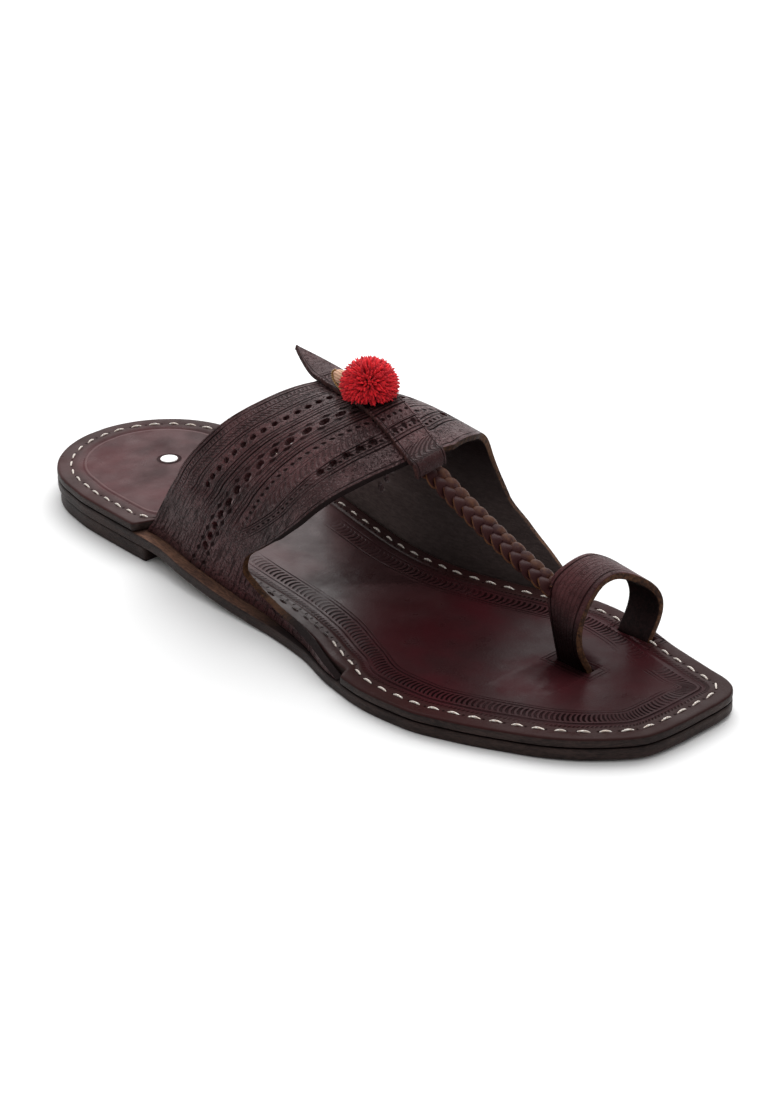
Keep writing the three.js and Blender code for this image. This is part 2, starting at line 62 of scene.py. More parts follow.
SOLE_LENGTH = 280.0
BALL_WIDTH = 93.0
HEEL_RADIUS = 35.6
INSTEP_HEIGHT = 60.0
TOE_SPRING = 1.0
TOE_SPRING_LENGTH = 45.0
OUTSOLE_THICKNESS = 3.8
INSOLE_THICKNESS = 3.0
HEEL_LIFT_HEIGHT = 5.0
HEEL_LENGTH = 74.0
WAIST_LENGTH = 76.0
HEEL_INSET = 0.5
SEAM_GAP = 0.3
CURVED_GAP = 0.45
STRAP_WALL = 2.2
WELT_LEDGE = 4.2
WELT_LEDGE_FRONT = 0.6
FOOT_CLEARANCE = 0.6
STEP_NEAR = 0.5
STEP_FAR = 2.6


def row_points(points):
    """Shoe millimetres to the row's metres, for one point or an array of them."""
    return (np.asarray(points, dtype=float) + SHIFT) * MM


print(f"sole: {SOLE_LENGTH:.0f} mm long, {BALL_WIDTH:.0f} mm wide at the ball")

# %% [markdown]
# The shape of a sandal is a few outlines. Most of their places were solved by
# least squares from points marked along the photo's edges, and some were then
# moved. They are shares of the length, the ball width or the instep's
# height, so that a change of one size moves all that rests on it. A curve that
# never swings past its points runs through them.

# %% Tables of the last
OUTLINE = {
    "along": [0.1, 0.143, 0.214, 0.286, 0.357, 0.429, 0.5, 0.571, 0.643, 0.714,
              0.768, 0.821, 0.879, 0.914, 0.945, 0.968, 0.984, 0.993, 0.998, 1],
    "medial": [-0.49, -0.503, -0.507, -0.498, -0.474, -0.446, -0.423, -0.416, -0.439, -0.484,
               -0.499, -0.48, -0.432, -0.408, -0.387, -0.372, -0.348, -0.316, -0.28, -0.226],
    "lateral": [0.259, 0.286, 0.302, 0.316, 0.352, 0.368, 0.373, 0.402, 0.468, 0.5,
                0.49, 0.443, 0.368, 0.316, 0.252, 0.187, 0.131, 0.085, 0.016, -0.065],
}
INSTEP = {
    "along": [0.24, 0.35, 0.43, 0.53, 0.63, 0.74],
    "crest": [0.87, 0.96, 1.01, 1.06, 0.95, 0.74],
    "ridge": [-0.06, -0.082, -0.103, -0.133, -0.16, -0.19],
    "medial": [0, 0, 0.02, 0.075, 0.11, 0.06],
    "lateral": [0.02, 0.025, 0.035, 0.055, 0.075, 0.04],
}
STRAP_CUT = {
    "medial": {
        "girth": [0, 0.16, 0.3, 0.45, 0.63, 0.73, 0.83, 0.92, 1],
        "rear": [0.422, 0.426, 0.419, 0.384, 0.352, 0.338, 0.324, 0.312, 0.302],
        "front": [0.63, 0.621, 0.603, 0.594, 0.612, 0.645, 0.682, 0.711, 0.732],
    },
    "lateral": {
        "girth": [0, 0.2, 0.37, 0.55, 0.66, 0.74, 0.81, 0.87, 0.92, 0.95, 0.965, 1],
        "rear": [0.422, 0.4, 0.369, 0.336, 0.318, 0.304, 0.291, 0.28, 0.271, 0.265, 0.261, 0.254],
        "front": [0.63, 0.62, 0.599, 0.563, 0.523, 0.487, 0.461, 0.455, 0.478, 0.518, 0.62, 0.657],
    },
}
ROUNDNESS = {"medial": 2.8, "lateral": 2.4}
SIGN = {"medial": -1, "lateral": 1}


def column(table, key, name):
    """A smooth curve through one column of a table, flat beyond its ends."""
    x = np.array(table[key], dtype=float)
    y = np.array(table[name], dtype=float)
    step = np.diff(x)
    rise = np.diff(y) / step
    slope = np.zeros_like(x)
    slope[0], slope[-1] = rise[0], rise[-1]
    same = rise[:-1] * rise[1:] > 0
    both = np.where(same, rise[:-1] + rise[1:], 1)
    slope[1:-1] = np.where(same, 2 * rise[:-1] * rise[1:] / both, 0)

    def curve(at):
        place = np.clip(at, x[0], x[-1])
        i = np.clip(np.searchsorted(x, place, side="left") - 1, 0, len(x) - 2)
        t = (place - x[i]) / step[i]
        bend = slope[i] * (1 - t) ** 2 * t - slope[i + 1] * t ** 2 * (1 - t)
        return y[i] * (1 + 2 * t) * (1 - t) ** 2 + y[i + 1] * t ** 2 * (3 - 2 * t) + bend * step[i]

    return curve


def ease(start, end, at):
    """A soft step from 0 to 1 between two places."""
    t = np.clip((at - start) / (end - start), 0, 1)
    return t * t * (3 - 2 * t)


def lengths_along(path):
    """Running length at each point of a path, from 0."""
    return np.concatenate([[0], np.cumsum(np.linalg.norm(np.diff(path, axis=0), axis=1))])


def unit(rows):
    """Directions, one in each row, brought to a length of 1."""
    return rows / np.linalg.norm(rows, axis=1)[:, None]


# %% [markdown]
# Both layers of the sole, the strap's feet and the stitches share one outline
# and one underside. So these are functions of the length, Y, that any piece can
# ask: where the edge is, how high the leather lies, and how far it is cut back
# to make room for the strap.

# %% Outline and heights of the sole
table_edge = {side: column(OUTLINE, "along", side) for side in SIGN}
heel_centre = BALL_WIDTH * (OUTLINE["medial"][0] + OUTLINE["lateral"][0]) / 2
seat_half = BALL_WIDTH * (OUTLINE["lateral"][0] - OUTLINE["medial"][0]) / 2
arc_end = SOLE_LENGTH * OUTLINE["along"][0]


def sole_edge(side, y):
    """The sole's edge on one side: a round heel, then the table."""
    y = np.asarray(y, dtype=float)
    full = math.sqrt(HEEL_RADIUS ** 2 - (HEEL_RADIUS - arc_end) ** 2)
    reach = np.sqrt(np.clip(HEEL_RADIUS ** 2 - (HEEL_RADIUS - y) ** 2, 0, None))
    heel = heel_centre + SIGN[side] * reach * seat_half / full
    return np.where(y < arc_end, heel, BALL_WIDTH * table_edge[side](y / SOLE_LENGTH))


def underside(y):
    """Height of the outsole's underside: up over the heel lift, a little up at the toe."""
    ramp = (HEEL_LIFT_HEIGHT + SEAM_GAP) * (1 - ease(HEEL_LENGTH, HEEL_LENGTH + WAIST_LENGTH, y))
    spring = ease(SOLE_LENGTH - TOE_SPRING_LENGTH, SOLE_LENGTH + TOE_SPRING_LENGTH, y)
    return ramp + 2 * TOE_SPRING * spring


def insole_bottom(y):
    return underside(y) + OUTSOLE_THICKNESS + SEAM_GAP


def insole_top(y):
    return insole_bottom(y) + INSOLE_THICKNESS


LEDGE_NARROWS = (0.2 * SOLE_LENGTH, 0.02 * SOLE_LENGTH)
strap_start = {side: SOLE_LENGTH * STRAP_CUT[side]["rear"][-1] for side in SIGN}
strap_end = {side: SOLE_LENGTH * STRAP_CUT[side]["front"][-1] for side in SIGN}


def ledge(side, y):
    """Width of the outsole's ledge outside the strap's foot."""
    end = strap_end[side]
    narrowing = ease(end - LEDGE_NARROWS[0], end - LEDGE_NARROWS[1], y)
    return WELT_LEDGE + (WELT_LEDGE_FRONT - WELT_LEDGE) * narrowing


def insole_cut(side, y):
    """How far the insole steps in where the strap's foot rises beside it."""
    rear = ease(strap_start[side] - STEP_FAR, strap_start[side] - STEP_NEAR, y)
    front = 1 - ease(strap_end[side] + STEP_NEAR, strap_end[side] + STEP_FAR, y)
    return (ledge(side, y) + STRAP_WALL + FOOT_CLEARANCE) * rear * front


print("insole's top at heel, waist and ball:", [round(float(insole_top(y)), 1) for y in (30, 110, 190)])

# %% [markdown]
# Finishes come first, so that each piece gets its own as it is made. Node trees
# written out node by node are long to read. So one helper adds any node and
# fills its inputs in order, and the others name what is done most often:
# arithmetic, a soft step, fractal noise and a blend of two colours.

# %% Node helpers
def fill(tree, socket, source):
    """Gives a socket a link or a value. None leaves it as it is."""
    if isinstance(source, bpy.types.NodeSocket):
        tree.links.new(source, socket)
    elif source is not None:
        socket.default_value = source


def add(tree, kind, *sources, **settings):
    """Adds one shader node. Its inputs are filled in order, by a link or by a value."""
    node = tree.nodes.new("ShaderNode" + kind)
    for key, value in settings.items():
        setattr(node, key, value)
    for socket, source in zip(node.inputs, sources):
        fill(tree, socket, source)
    return node


def calc(tree, operation, *sources):
    return add(tree, "Math", *sources, operation=operation).outputs[0]


def times(tree, a, b):
    return calc(tree, "MULTIPLY", a, b)


def plus(tree, a, b):
    return calc(tree, "ADD", a, b)


def minus(tree, a, b):
    return calc(tree, "SUBTRACT", a, b)


def away_from(tree, value, middle):
    """Distance between a length and a place on it, without its sign."""
    return calc(tree, "ABSOLUTE", minus(tree, value, middle))


def blend(tree, share, low, high):
    """A colour between two colours, each a link or four numbers."""
    node = add(tree, "Mix", data_type="RGBA")
    for k, source in ((0, share), (6, low), (7, high)):
        fill(tree, node.inputs[k], source)
    return node.outputs[2]


def within(tree, value, start, end, low=0.0, high=1.0):
    """A soft step from low at start to high at end; start may be the larger one."""
    return add(tree, "MapRange", value, start, end, low, high,
               interpolation_type="SMOOTHSTEP").outputs[0]


def cloud(tree, coords, scale, detail=3.0, roughness=0.5, distortion=0.0):
    """Fractal noise, scale in features per metre."""
    return add(tree, "TexNoise", coords, None, scale, detail, roughness, 2.0, 0.0, distortion,
               noise_dimensions="3D").outputs[0]


def colour(red, green, blue):
    return (red, green, blue, 1.0)


def new_finish(name, **sockets):
    """A material with a Principled shader whose plain values are set on its own sockets."""
    material = bpy.data.materials.new(name)
    material.use_nodes = True
    shader = material.node_tree.nodes["Principled BSDF"]
    for key, value in sockets.items():
        shader.inputs[key.replace("_", " ").title().replace("Ior", "IOR")].default_value = value
    return material, material.node_tree, shader


# %% [markdown]
# A pattern needs to know where it is on the shoe. Object coordinates give a
# place in metres, and a piece's own UV map gives lengths on its leather. Both
# are turned into millimetres here, so that all patterns share one unit.

# %% Places for patterns
def object_coords(tree):
    return add(tree, "TexCoord").outputs["Object"]


def place_parts(tree, coords):
    """Object coordinates as shoe millimetres."""
    parts = add(tree, "SeparateXYZ", coords)
    return [calc(tree, "MULTIPLY_ADD", parts.outputs[k], 1 / MM, -float(SHIFT[k])) for k in range(3)]


def uv_parts(tree, name):
    """Both parts of a UV map, in millimetres."""
    pair = add(tree, "SeparateXYZ", add(tree, "UVMap", uv_map=name).outputs[0])
    return [times(tree, pair.outputs[k], 1 / MM) for k in (0, 1)]


def add_bump(tree, shader, height, depth_mm):
    """Relief from a height between 0 and 1 that stands for a real depth."""
    bump = add(tree, "Bump", 1.0, depth_mm * MM, None, height)
    tree.links.new(bump.outputs[0], shader.inputs["Normal"])


PORES = 1500.0
DENTS = 260.0
WRINKLES = 1100.0


def leather_grain(tree, coords):
    """Fine pores and slow dents of a hide, as one height near a half."""
    pores = add(tree, "TexVoronoi", coords, None, PORES, feature="SMOOTH_F1").outputs[0]
    return plus(tree, times(tree, pores, 0.35), times(tree, cloud(tree, coords, DENTS, 4.0, 0.6), 0.65))


def fine_wrinkles(tree, start):
    """Hair-fine wrinkles of a hide that was bent while wet; a higher start leaves fewer."""
    return within(tree, cloud(tree, object_coords(tree), WRINKLES, 2.0, 0.8), start, 0.66)


# %% [markdown]
# Patterns on leather are pressed with small tools along an edge. So each
# pattern here is a function of two lengths that the pieces carry in their UV
# maps: how far along the edge, and how far in from it, both in millimetres.
# Every function gives the depth of its mark at a spot, from 0 to 1.

# %% Tooled patterns
def strongest(tree, *marks):
    """The deepest of several marks."""
    total = marks[0]
    for mark in marks[1:]:
        total = calc(tree, "MAXIMUM", total, mark)
    return total


def groove_lines(tree, across, lines):
    """Pressed lines at given distances: each row is (distance, half width, depth share)."""
    marks = []
    for distance, half, share in lines:
        line = within(tree, away_from(tree, across, distance), half, half * 0.25)
        marks.append(times(tree, line, share))
    return strongest(tree, *marks)


def dot_row(tree, along, across, distance, pitch, radius):
    """A row of pressed round dots."""
    side = calc(tree, "PINGPONG", along, pitch / 2)
    away = minus(tree, across, distance)
    squares = plus(tree, times(tree, side, side), times(tree, away, away))
    return within(tree, calc(tree, "SQRT", squares), radius, radius * 0.45)


def comb_row(tree, along, across, start, end, pitch, slant=0.0, curl=0.0):
    """A band of short strokes side by side, slanted or curled like crescents."""
    half = (end - start) / 2
    away = minus(tree, across, start + half)
    lean = plus(tree, times(tree, away, slant), times(tree, times(tree, away, away), curl))
    wave = calc(tree, "PINGPONG", plus(tree, along, lean), pitch / 2)
    stroke = within(tree, wave, pitch * 0.32, pitch * 0.12)
    return times(tree, stroke, within(tree, calc(tree, "ABSOLUTE", away), half, half - 0.5))


# %% [markdown]
# Dye soaks in unevenly: it is dark where the hide is dense, and redder where it
# is thin. Where a tool pressed it, it is painted near black and loses its gloss:
# partly dye pooled in the mark, partly painted shade in a groove that the mesh
# doesn't have. The finish below mixes three dyes with slow noise, then adds the
# marks and the recolouring of its own piece: wear, and on some pieces painted
# light. Its gloss is a low specular level, because oiled leather hardly mirrors
# the sky.

# %% Dyes, and a dyed leather
DARK_DYE = colour(0.030, 0.0088, 0.0094)
MID_DYE = colour(0.080, 0.0270, 0.0285)
RED_DYE = colour(0.104, 0.0170, 0.0210)
STRAP_DYES = (DARK_DYE, MID_DYE, RED_DYE)
INSOLE_DYES = (colour(0.040, 0.0160, 0.0168), colour(0.080, 0.0350, 0.0365), RED_DYE)
# ink black of blacked edges; also the colour of painted shade low on the strap
BLACKING_AND_SHADE = colour(0.010, 0.005, 0.005)
# near black of pressed marks, partly pooled dye and partly painted shade; also the painted shade inside
# punched holes
POOLED_DYE_AND_SHADE = colour(0.003, 0.0015, 0.0015)
# pale speckle of the strap's grain, partly a painted highlight on its tooling
SPECKLE_HIGHLIGHT_PALE = colour(0.20, 0.13, 0.13)
GRAIN_SHARE = 0.16


def dyed_leather(name, dyes, marks, recolour, depth, roughness, shine, red_share=0.35, matt=None):
    """Dyed hide; marks gives pressed depth, recolour changes the base, painted light included, matt
    scales the gloss.
    """
    dark, mid, red = dyes
    material, tree, shader = new_finish(name, coat_roughness=0.25)
    coords = object_coords(tree)
    cloudy = within(tree, cloud(tree, coords, 45.0, 4.0, 0.6, 0.4), 0.35, 0.68)
    thin = within(tree, cloud(tree, coords, 28.0, 3.0, 0.55, 0.8), 0.5, 0.72)
    base = blend(tree, times(tree, thin, red_share), blend(tree, cloudy, dark, mid), red)
    pressed = marks(tree)
    # painted shade in part: pressed marks are blended toward near black here, and lose their gloss below
    base = blend(tree, times(tree, pressed, 0.88), recolour(tree, coords, base), POOLED_DYE_AND_SHADE)
    gloss = times(tree, within(tree, cloud(tree, coords, 90.0, 3.0, 0.6), 0.2, 0.8), 0.5)
    gloss = times(tree, plus(tree, gloss, 0.75), shine)
    if matt is not None:
        gloss = times(tree, gloss, matt(tree, coords))
    gloss = times(tree, gloss, minus(tree, 1.0, times(tree, pressed, 0.95)))
    rough = add(tree, "MapRange", cloud(tree, coords, 120.0, 3.0, 0.6), 0.3, 0.7,
                roughness - 0.07, roughness + 0.1).outputs[0]
    for socket, source in (("Base Color", base), ("Specular IOR Level", gloss),
                           ("Coat Weight", times(tree, gloss, 0.2)), ("Roughness", rough)):
        tree.links.new(source, shader.inputs[socket])
    grain = times(tree, leather_grain(tree, coords), GRAIN_SHARE)
    add_bump(tree, shader, minus(tree, grain, pressed), depth)
    return material


# %% [markdown]
# The instep strap is tooled from its rear edge to its front edge: a rope-like
# border, a row of round holes between lines, a row of leaf holes between
# lines, small dots, and a chain of dots between two lines in front. The rows
# follow the edge they are nearest to, so two UV maps measure from either edge.

# %% Rows of the instep strap, in millimetres from an edge
REAR_LINES = [
    (1.0, 0.4, 0.7), (2.6, 0.55, 1.0), (5.8, 0.4, 0.9), (8.4, 0.3, 0.8), (11.0, 0.42, 0.9),
    (12.4, 0.4, 0.8), (19.6, 0.42, 0.9), (21.0, 0.4, 0.8), (22.5, 0.55, 1.0), (24.4, 0.35, 0.7),
    (26.0, 0.3, 0.6), (32.4, 0.3, 0.6), (34.0, 0.42, 0.9), (35.5, 0.4, 0.8), (37.0, 0.55, 1.0),
    (43.5, 0.3, 0.5),
]
FRONT_LINES = [(1.1, 0.4, 0.8), (8.6, 0.42, 1.0), (9.9, 0.4, 0.8), (12.7, 0.4, 0.8), (14.0, 0.42, 1.0)]
SEED_BAND = {"start": 3.3, "end": 5.3, "pitch": 1.5, "slant": -0.5}
ROPE_BAND = {"start": 6.8, "end": 10.0, "pitch": 1.6, "slant": 0.5}
SCRIBBLE_BAND = {"start": 15.0, "end": 20.0, "pitch": 2.2, "slant": 0.7, "curl": 0.1}
BEAD_DOTS = {"distance": 40.0, "pitch": 2.8, "radius": 0.95}
CHAIN_DOTS = {"distance": 11.3, "pitch": 2.1, "radius": 0.8}
LEAF_INSET = 29.0
LEAF_PITCH = 4.3
NOTCH_OFFSET = 2.7
LEAF_RING = [(2.75, 0.32, 0.8)]

# Where rows fade out toward the feet, in millimetres round from the crest
REAR_FADE = (78.0, 60.0)
FRONT_FADE = (80.0, 64.0)
STREAKS_BEGIN = (42.0, 62.0)


def leaf_marks(tree, number, rear):
    """Marks round the leaf holes: a pressed ring, and two notches between neighbours."""
    side = times(tree, calc(tree, "PINGPONG", number, 0.5), LEAF_PITCH)
    gap = times(tree, calc(tree, "PINGPONG", plus(tree, number, 0.5), 0.5), LEAF_PITCH)
    away = minus(tree, rear, LEAF_INSET)
    squares = plus(tree, times(tree, side, side), times(tree, times(tree, away, away), 1.1))
    ring = groove_lines(tree, calc(tree, "SQRT", squares), LEAF_RING)
    off = away_from(tree, calc(tree, "ABSOLUTE", away), NOTCH_OFFSET)
    notch = within(tree, plus(tree, times(tree, gap, 0.8), off), 1.25, 0.75)
    return strongest(tree, times(tree, ring, within(tree, side, 2.1, 1.6)), notch)


# %% Finish of the instep strap
def strap_marks(tree):
    """Rows from both edges, wrinkles between them, and streaks low on the flanks."""
    along, rear = uv_parts(tree, "rear")
    front = uv_parts(tree, "front")[1]
    number = calc(tree, "DIVIDE", uv_parts(tree, "leaf row")[0], 1 / MM)
    rear_rows = strongest(tree, groove_lines(tree, rear, REAR_LINES),
                          times(tree, comb_row(tree, along, rear, **SEED_BAND), 0.7),
                          times(tree, comb_row(tree, along, rear, **ROPE_BAND), 0.6),
                          dot_row(tree, along, rear, **BEAD_DOTS))
    scribble = times(tree, comb_row(tree, along, front, **SCRIBBLE_BAND), 0.45)
    scribble = times(tree, scribble, within(tree, rear, 41.0, 42.5))
    front_rows = strongest(tree, groove_lines(tree, front, FRONT_LINES),
                           dot_row(tree, along, front, **CHAIN_DOTS), scribble)
    round_way = calc(tree, "ABSOLUTE", along)
    tooled = strongest(tree, times(tree, rear_rows, within(tree, round_way, *REAR_FADE)),
                       times(tree, front_rows, within(tree, round_way, *FRONT_FADE)),
                       leaf_marks(tree, number, rear), times(tree, fine_wrinkles(tree, 0.52), 0.5))
    patchy = within(tree, cloud(tree, object_coords(tree), 60.0, 3.0, 0.6), 0.25, 0.5)
    spread = add(tree, "CombineXYZ", times(tree, along, 0.11), rear, 0.0).outputs[0]
    streaks = within(tree, cloud(tree, spread, 0.9, 3.0, 0.65, 0.6), 0.5, 0.66)
    low = times(tree, within(tree, round_way, *STREAKS_BEGIN), 0.75)
    return strongest(tree, times(tree, tooled, patchy), times(tree, streaks, low))


def strap_speckle_and_shade(tree, coords, base):
    """A pale speckle on the tooled grain, partly painted highlight, and painted shade that darkens the
    strap toward its lower flap.
    """
    # painted highlight in part: a fine pale speckle lightens the grain
    grain_and_highlight_speckle = times(tree, within(tree, cloud(tree, coords, 1300.0, 2.0, 0.85), 0.5, 0.7), 0.4)
    # painted shade: the strap is darkened toward the bottom of its flaps
    low = within(tree, place_parts(tree, coords)[2], 42.0, 22.0)
    return blend(tree, times(tree, low, 0.3), blend(tree, grain_and_highlight_speckle, base, SPECKLE_HIGHLIGHT_PALE), BLACKING_AND_SHADE)


strap_finish = dyed_leather("tooled strap leather", STRAP_DYES, strap_marks, strap_speckle_and_shade,
                            depth=0.9, roughness=0.4, shine=0.13)
print("tooled strap leather:", len(strap_finish.node_tree.nodes), "nodes")


# %% [markdown]
# A knife leaves a cut edge with loose brown fibres, and the inner side of a
# hide, the flesh side, is matt and pale. The maker blacks most of the edges
# with ink and misses some. So one finish makes fibres in two browns, and a
# small function for each piece tells where the ink is missing; on the flesh
# side it paints light instead, paler low down at the back.

# %% Finish of cut edges, flesh sides and the ledge
def raw_leather(name, low, high, roughness=0.75, scale=700.0, stretch=(1, 1, 1), shine=0.12, bare=None):
    """A cut or flesh side: fibres in two browns, matt; bare tells where it isn't blacked."""
    material, tree, shader = new_finish(name, roughness=roughness, specular_ior_level=shine)
    coords = add(tree, "Mapping", object_coords(tree), None, None, stretch).outputs[0]
    fibres = cloud(tree, coords, scale, 5.0, 0.7)
    patches = cloud(tree, coords, 60.0, 3.0, 0.6)
    share = plus(tree, times(tree, fibres, 0.6), times(tree, patches, 0.4))
    base = blend(tree, within(tree, share, 0.38, 0.62), low, high)
    if bare is not None:
        base = blend(tree, bare(tree, *place_parts(tree, object_coords(tree))), BLACKING_AND_SHADE, base)
    tree.links.new(base, shader.inputs["Base Color"])
    add_bump(tree, shader, fibres, 0.18)
    return material


def strap_edge_bare(tree, x, y, z):
    """The strap's edge is blacked but for the inner side and the outer foot's curve."""
    curve = times(tree, within(tree, z, 34.0, 22.0), within(tree, y, 158.0, 138.0))
    return strongest(tree, within(tree, x, -4.0, -14.0), curve)


def ledge_bare(tree, _x, y, _z):
    """The outsole's top was never blacked beside the strap, from the heel's edge to the ball."""
    return times(tree, within(tree, y, 66.0, 74.0), within(tree, y, 150.0, 122.0))


def flesh_painted_light(tree, _x, y, z):
    """Painted light: the flesh side is paler low down, most at the back, and blacked higher up."""
    back = within(tree, y, 160.0, 115.0)
    return times(tree, within(tree, z, 52.0, 18.0), calc(tree, "MULTIPLY_ADD", back, 0.6, 0.4))


edge_finish = raw_leather("cut strap edge", colour(0.014, 0.0055, 0.004), colour(0.100, 0.044, 0.021),
                          bare=strap_edge_bare)
rim_finish = raw_leather("cut loop edge", colour(0.018, 0.007, 0.005), colour(0.105, 0.046, 0.022))
lining_finish = raw_leather("loop lining", colour(0.006, 0.003, 0.003), colour(0.020, 0.008, 0.008))
# painted shade: the walls of the punched holes and the insole's slots are near black
hole_shade_finish = raw_leather("punched hole", POOLED_DYE_AND_SHADE, colour(0.008, 0.004, 0.003), shine=0.02)
# the flesh side carries painted light, paler low at the back
flesh_finish = raw_leather("flesh side", colour(0.100, 0.073, 0.069), colour(0.165, 0.123, 0.116),
                           0.55, stretch=(0.5, 0.5, 2), bare=flesh_painted_light)
ledge_finish = raw_leather("bare ledge", colour(0.055, 0.029, 0.024), colour(0.175, 0.088, 0.056),
                           stretch=(3, 0.6, 1), bare=ledge_bare)
sole_edge_finish = raw_leather("blacked sole edge", colour(0.010, 0.0055, 0.005),
                               colour(0.036, 0.021, 0.018), 0.5, 500.0, (1, 1, 5), shine=0.15)
sole_face_finish = raw_leather("sole underside", colour(0.040, 0.022, 0.014),
                               colour(0.110, 0.068, 0.042), 0.8, 260.0)
print("finishes so far:", len(bpy.data.materials))


# %% [markdown]
# The insole is the most polished face. Needle holes lie in its stitch channel,
# and a band of crescents between fine lines runs round the forefoot, with a
# pressed frame at each slot of the toe loop. The leather is darkest under the
# toes, with burgundy patches where they press, and a painted highlight lies on
# the pale line round the heel's panel.

# %% Tooling of the insole, in millimetres
SLOT_PLACES = [(-37.14, 232.66), (-9.74, 232.66)]
SLOT_SIZE = (3.1, 13.2, 12.0)
FRAME_HALF = (3.4, 8.8)
FRAME_LINES = [(0.0, 0.4, 0.8), (1.3, 0.3, 0.5)]
DOT_PLACE = (-13.2, 37.5)
DOT_RADIUS = 3.0
DOT_RING = [(DOT_RADIUS + 0.8, 0.7, 0.9)]
STITCH_INSET = 5.0
NEEDLE_HOLES = {"distance": STITCH_INSET, "pitch": 3.3, "radius": 0.55}
CRESCENT_BAND = {"start": 10.6, "end": 15.4, "pitch": 1.9, "curl": 0.14}
SMALL_BAND = {"start": 6.8, "end": 8.4, "pitch": 1.5, "slant": 0.6}
INSOLE_LINES = [(9.6, 0.35, 0.7), (16.2, 0.35, 0.8), (17.4, 0.3, 0.5)]
PANEL_LINE = [(9.9, 0.55, 0.6)]
TOOLED_FROM = (108.0, 125.0)


def frame_mark(tree, coords, place):
    """A pressed rectangle round a slot."""
    parts = place_parts(tree, coords)
    off = [minus(tree, away_from(tree, parts[k], place[k]), FRAME_HALF[k]) for k in (0, 1)]
    return groove_lines(tree, strongest(tree, *off), FRAME_LINES)


def insole_marks(tree):
    """Bands along the edge of the forefoot, needle holes, slot frames and the dot's ring."""
    along, inset = uv_parts(tree, "edge")
    coords = object_coords(tree)
    patchy = within(tree, cloud(tree, coords, 45.0, 3.0, 0.6), 0.3, 0.6)
    x, y, _ = place_parts(tree, coords)
    worked = strongest(tree, comb_row(tree, along, inset, **CRESCENT_BAND),
                       times(tree, comb_row(tree, along, inset, **SMALL_BAND), 0.7),
                       groove_lines(tree, inset, INSOLE_LINES))
    worked = times(tree, times(tree, worked, patchy), within(tree, y, *TOOLED_FROM))
    needle = dot_row(tree, plus(tree, along, 1.0), inset, **NEEDLE_HOLES)
    to_dot = add(tree, "VectorMath", add(tree, "CombineXYZ", x, y, 0.0).outputs[0],
                 (*DOT_PLACE, 0.0), operation="DISTANCE").outputs["Value"]
    frames = strongest(tree, *[frame_mark(tree, coords, place) for place in SLOT_PLACES],
                       groove_lines(tree, to_dot, DOT_RING))
    return strongest(tree, worked, times(tree, needle, 0.7), times(tree, frames, patchy))


# %% Wear, painted highlight and gloss of the insole
TOE_DARK = colour(0.027, 0.0100, 0.0110)
BURGUNDY = colour(0.046, 0.0055, 0.0085)
BORDER_BROWN = colour(0.027, 0.0130, 0.0112)
# painted highlight on the line round the heel's panel
PANEL_LINE_HIGHLIGHT = colour(0.16, 0.095, 0.095)


def insole_wear_and_highlight(tree, coords, base):
    """Burgundy and darker where the forefoot rests, brown-black along the edge, and a painted highlight
    on the panel line round the heel.
    """
    y = place_parts(tree, coords)[1]
    inset = uv_parts(tree, "edge")[1]
    base = blend(tree, within(tree, y, 150.0, 200.0), base, TOE_DARK)
    forefoot = times(tree, within(tree, y, 125.0, 185.0), within(tree, y, 290.0, 225.0))
    patchy = within(tree, cloud(tree, coords, 30.0, 3.0, 0.6, 1.0), 0.36, 0.64)
    base = blend(tree, times(tree, forefoot, times(tree, patchy, 0.7)), base, BURGUNDY)
    base = blend(tree, times(tree, within(tree, inset, 9.5, STITCH_INSET + 0.5), 0.6), base, BORDER_BROWN)
    # painted highlight: the panel line round the heel is lightened
    ridge = times(tree, groove_lines(tree, inset, PANEL_LINE), within(tree, y, 110.0, 70.0))
    return blend(tree, ridge, base, PANEL_LINE_HIGHLIGHT)


def insole_matt(tree, coords):
    """Share of the gloss: most at the waist, which no foot rubs, and least at the toes."""
    y = place_parts(tree, coords)[1]
    return times(tree, within(tree, y, 65.0, 105.0, 1.0, 3.0), within(tree, y, 135.0, 195.0, 1.0, 0.22))


insole_finish = dyed_leather("polished insole leather", INSOLE_DYES, insole_marks, insole_wear_and_highlight,
                             depth=0.4, roughness=0.32, shine=0.035, matt=insole_matt)
print("polished insole leather:", len(insole_finish.node_tree.nodes), "nodes")


# %% [markdown]
# A layer of sole is a flat sheet cut to the outline, with a worked rim. It is
# made as a maker would shape its edge: one circle is laid on the outline, then
# extruded again and again, each time onto the next ring of a small profile
# table (how far in, how high). Cuts across the length let it bend to the last.

# %% Rings round an edge
SIDE_STEPS = 1400
TOE_STEPS = 200
HEEL_STEPS = 30
TURN_SHARE = 0.85
CROWDED_STEP = 0.3


def edge_loop(start, end, inset, count):
    """Points round the sole between two lengths, evenly spaced, clockwise from the heel."""
    steps = np.linspace(0, 1, SIDE_STEPS)
    y = start + (end - start) * (1 - np.cos(math.pi * steps)) / 2
    medial = np.column_stack([sole_edge("medial", y - inset) + inset, y])
    lateral = np.column_stack([sole_edge("lateral", y - inset) - inset, y])[::-1]
    top = np.linspace(medial[-1], lateral[0], TOE_STEPS)[1:-1]
    bottom = np.linspace(lateral[-1], medial[0], HEEL_STEPS)[1:]
    path = np.vstack([medial, top, lateral, bottom])
    length = lengths_along(path)
    at = np.linspace(0, length[-1], count + 1)[:-1]
    points = np.column_stack([np.interp(at, length, path[:, k]) for k in (0, 1)])
    return points, length[-1]


def inward(points, perimeter, spread):
    """Directions into the shape, averaged over a stretch of the edge."""
    tangent = unit(np.roll(points, -1, axis=0) - np.roll(points, 1, axis=0))
    normal = np.column_stack([tangent[:, 1], -tangent[:, 0]])
    window = int(round(spread / perimeter * len(points)))
    return unit(sum(np.roll(normal, k, axis=0) for k in range(-window, window + 1)))


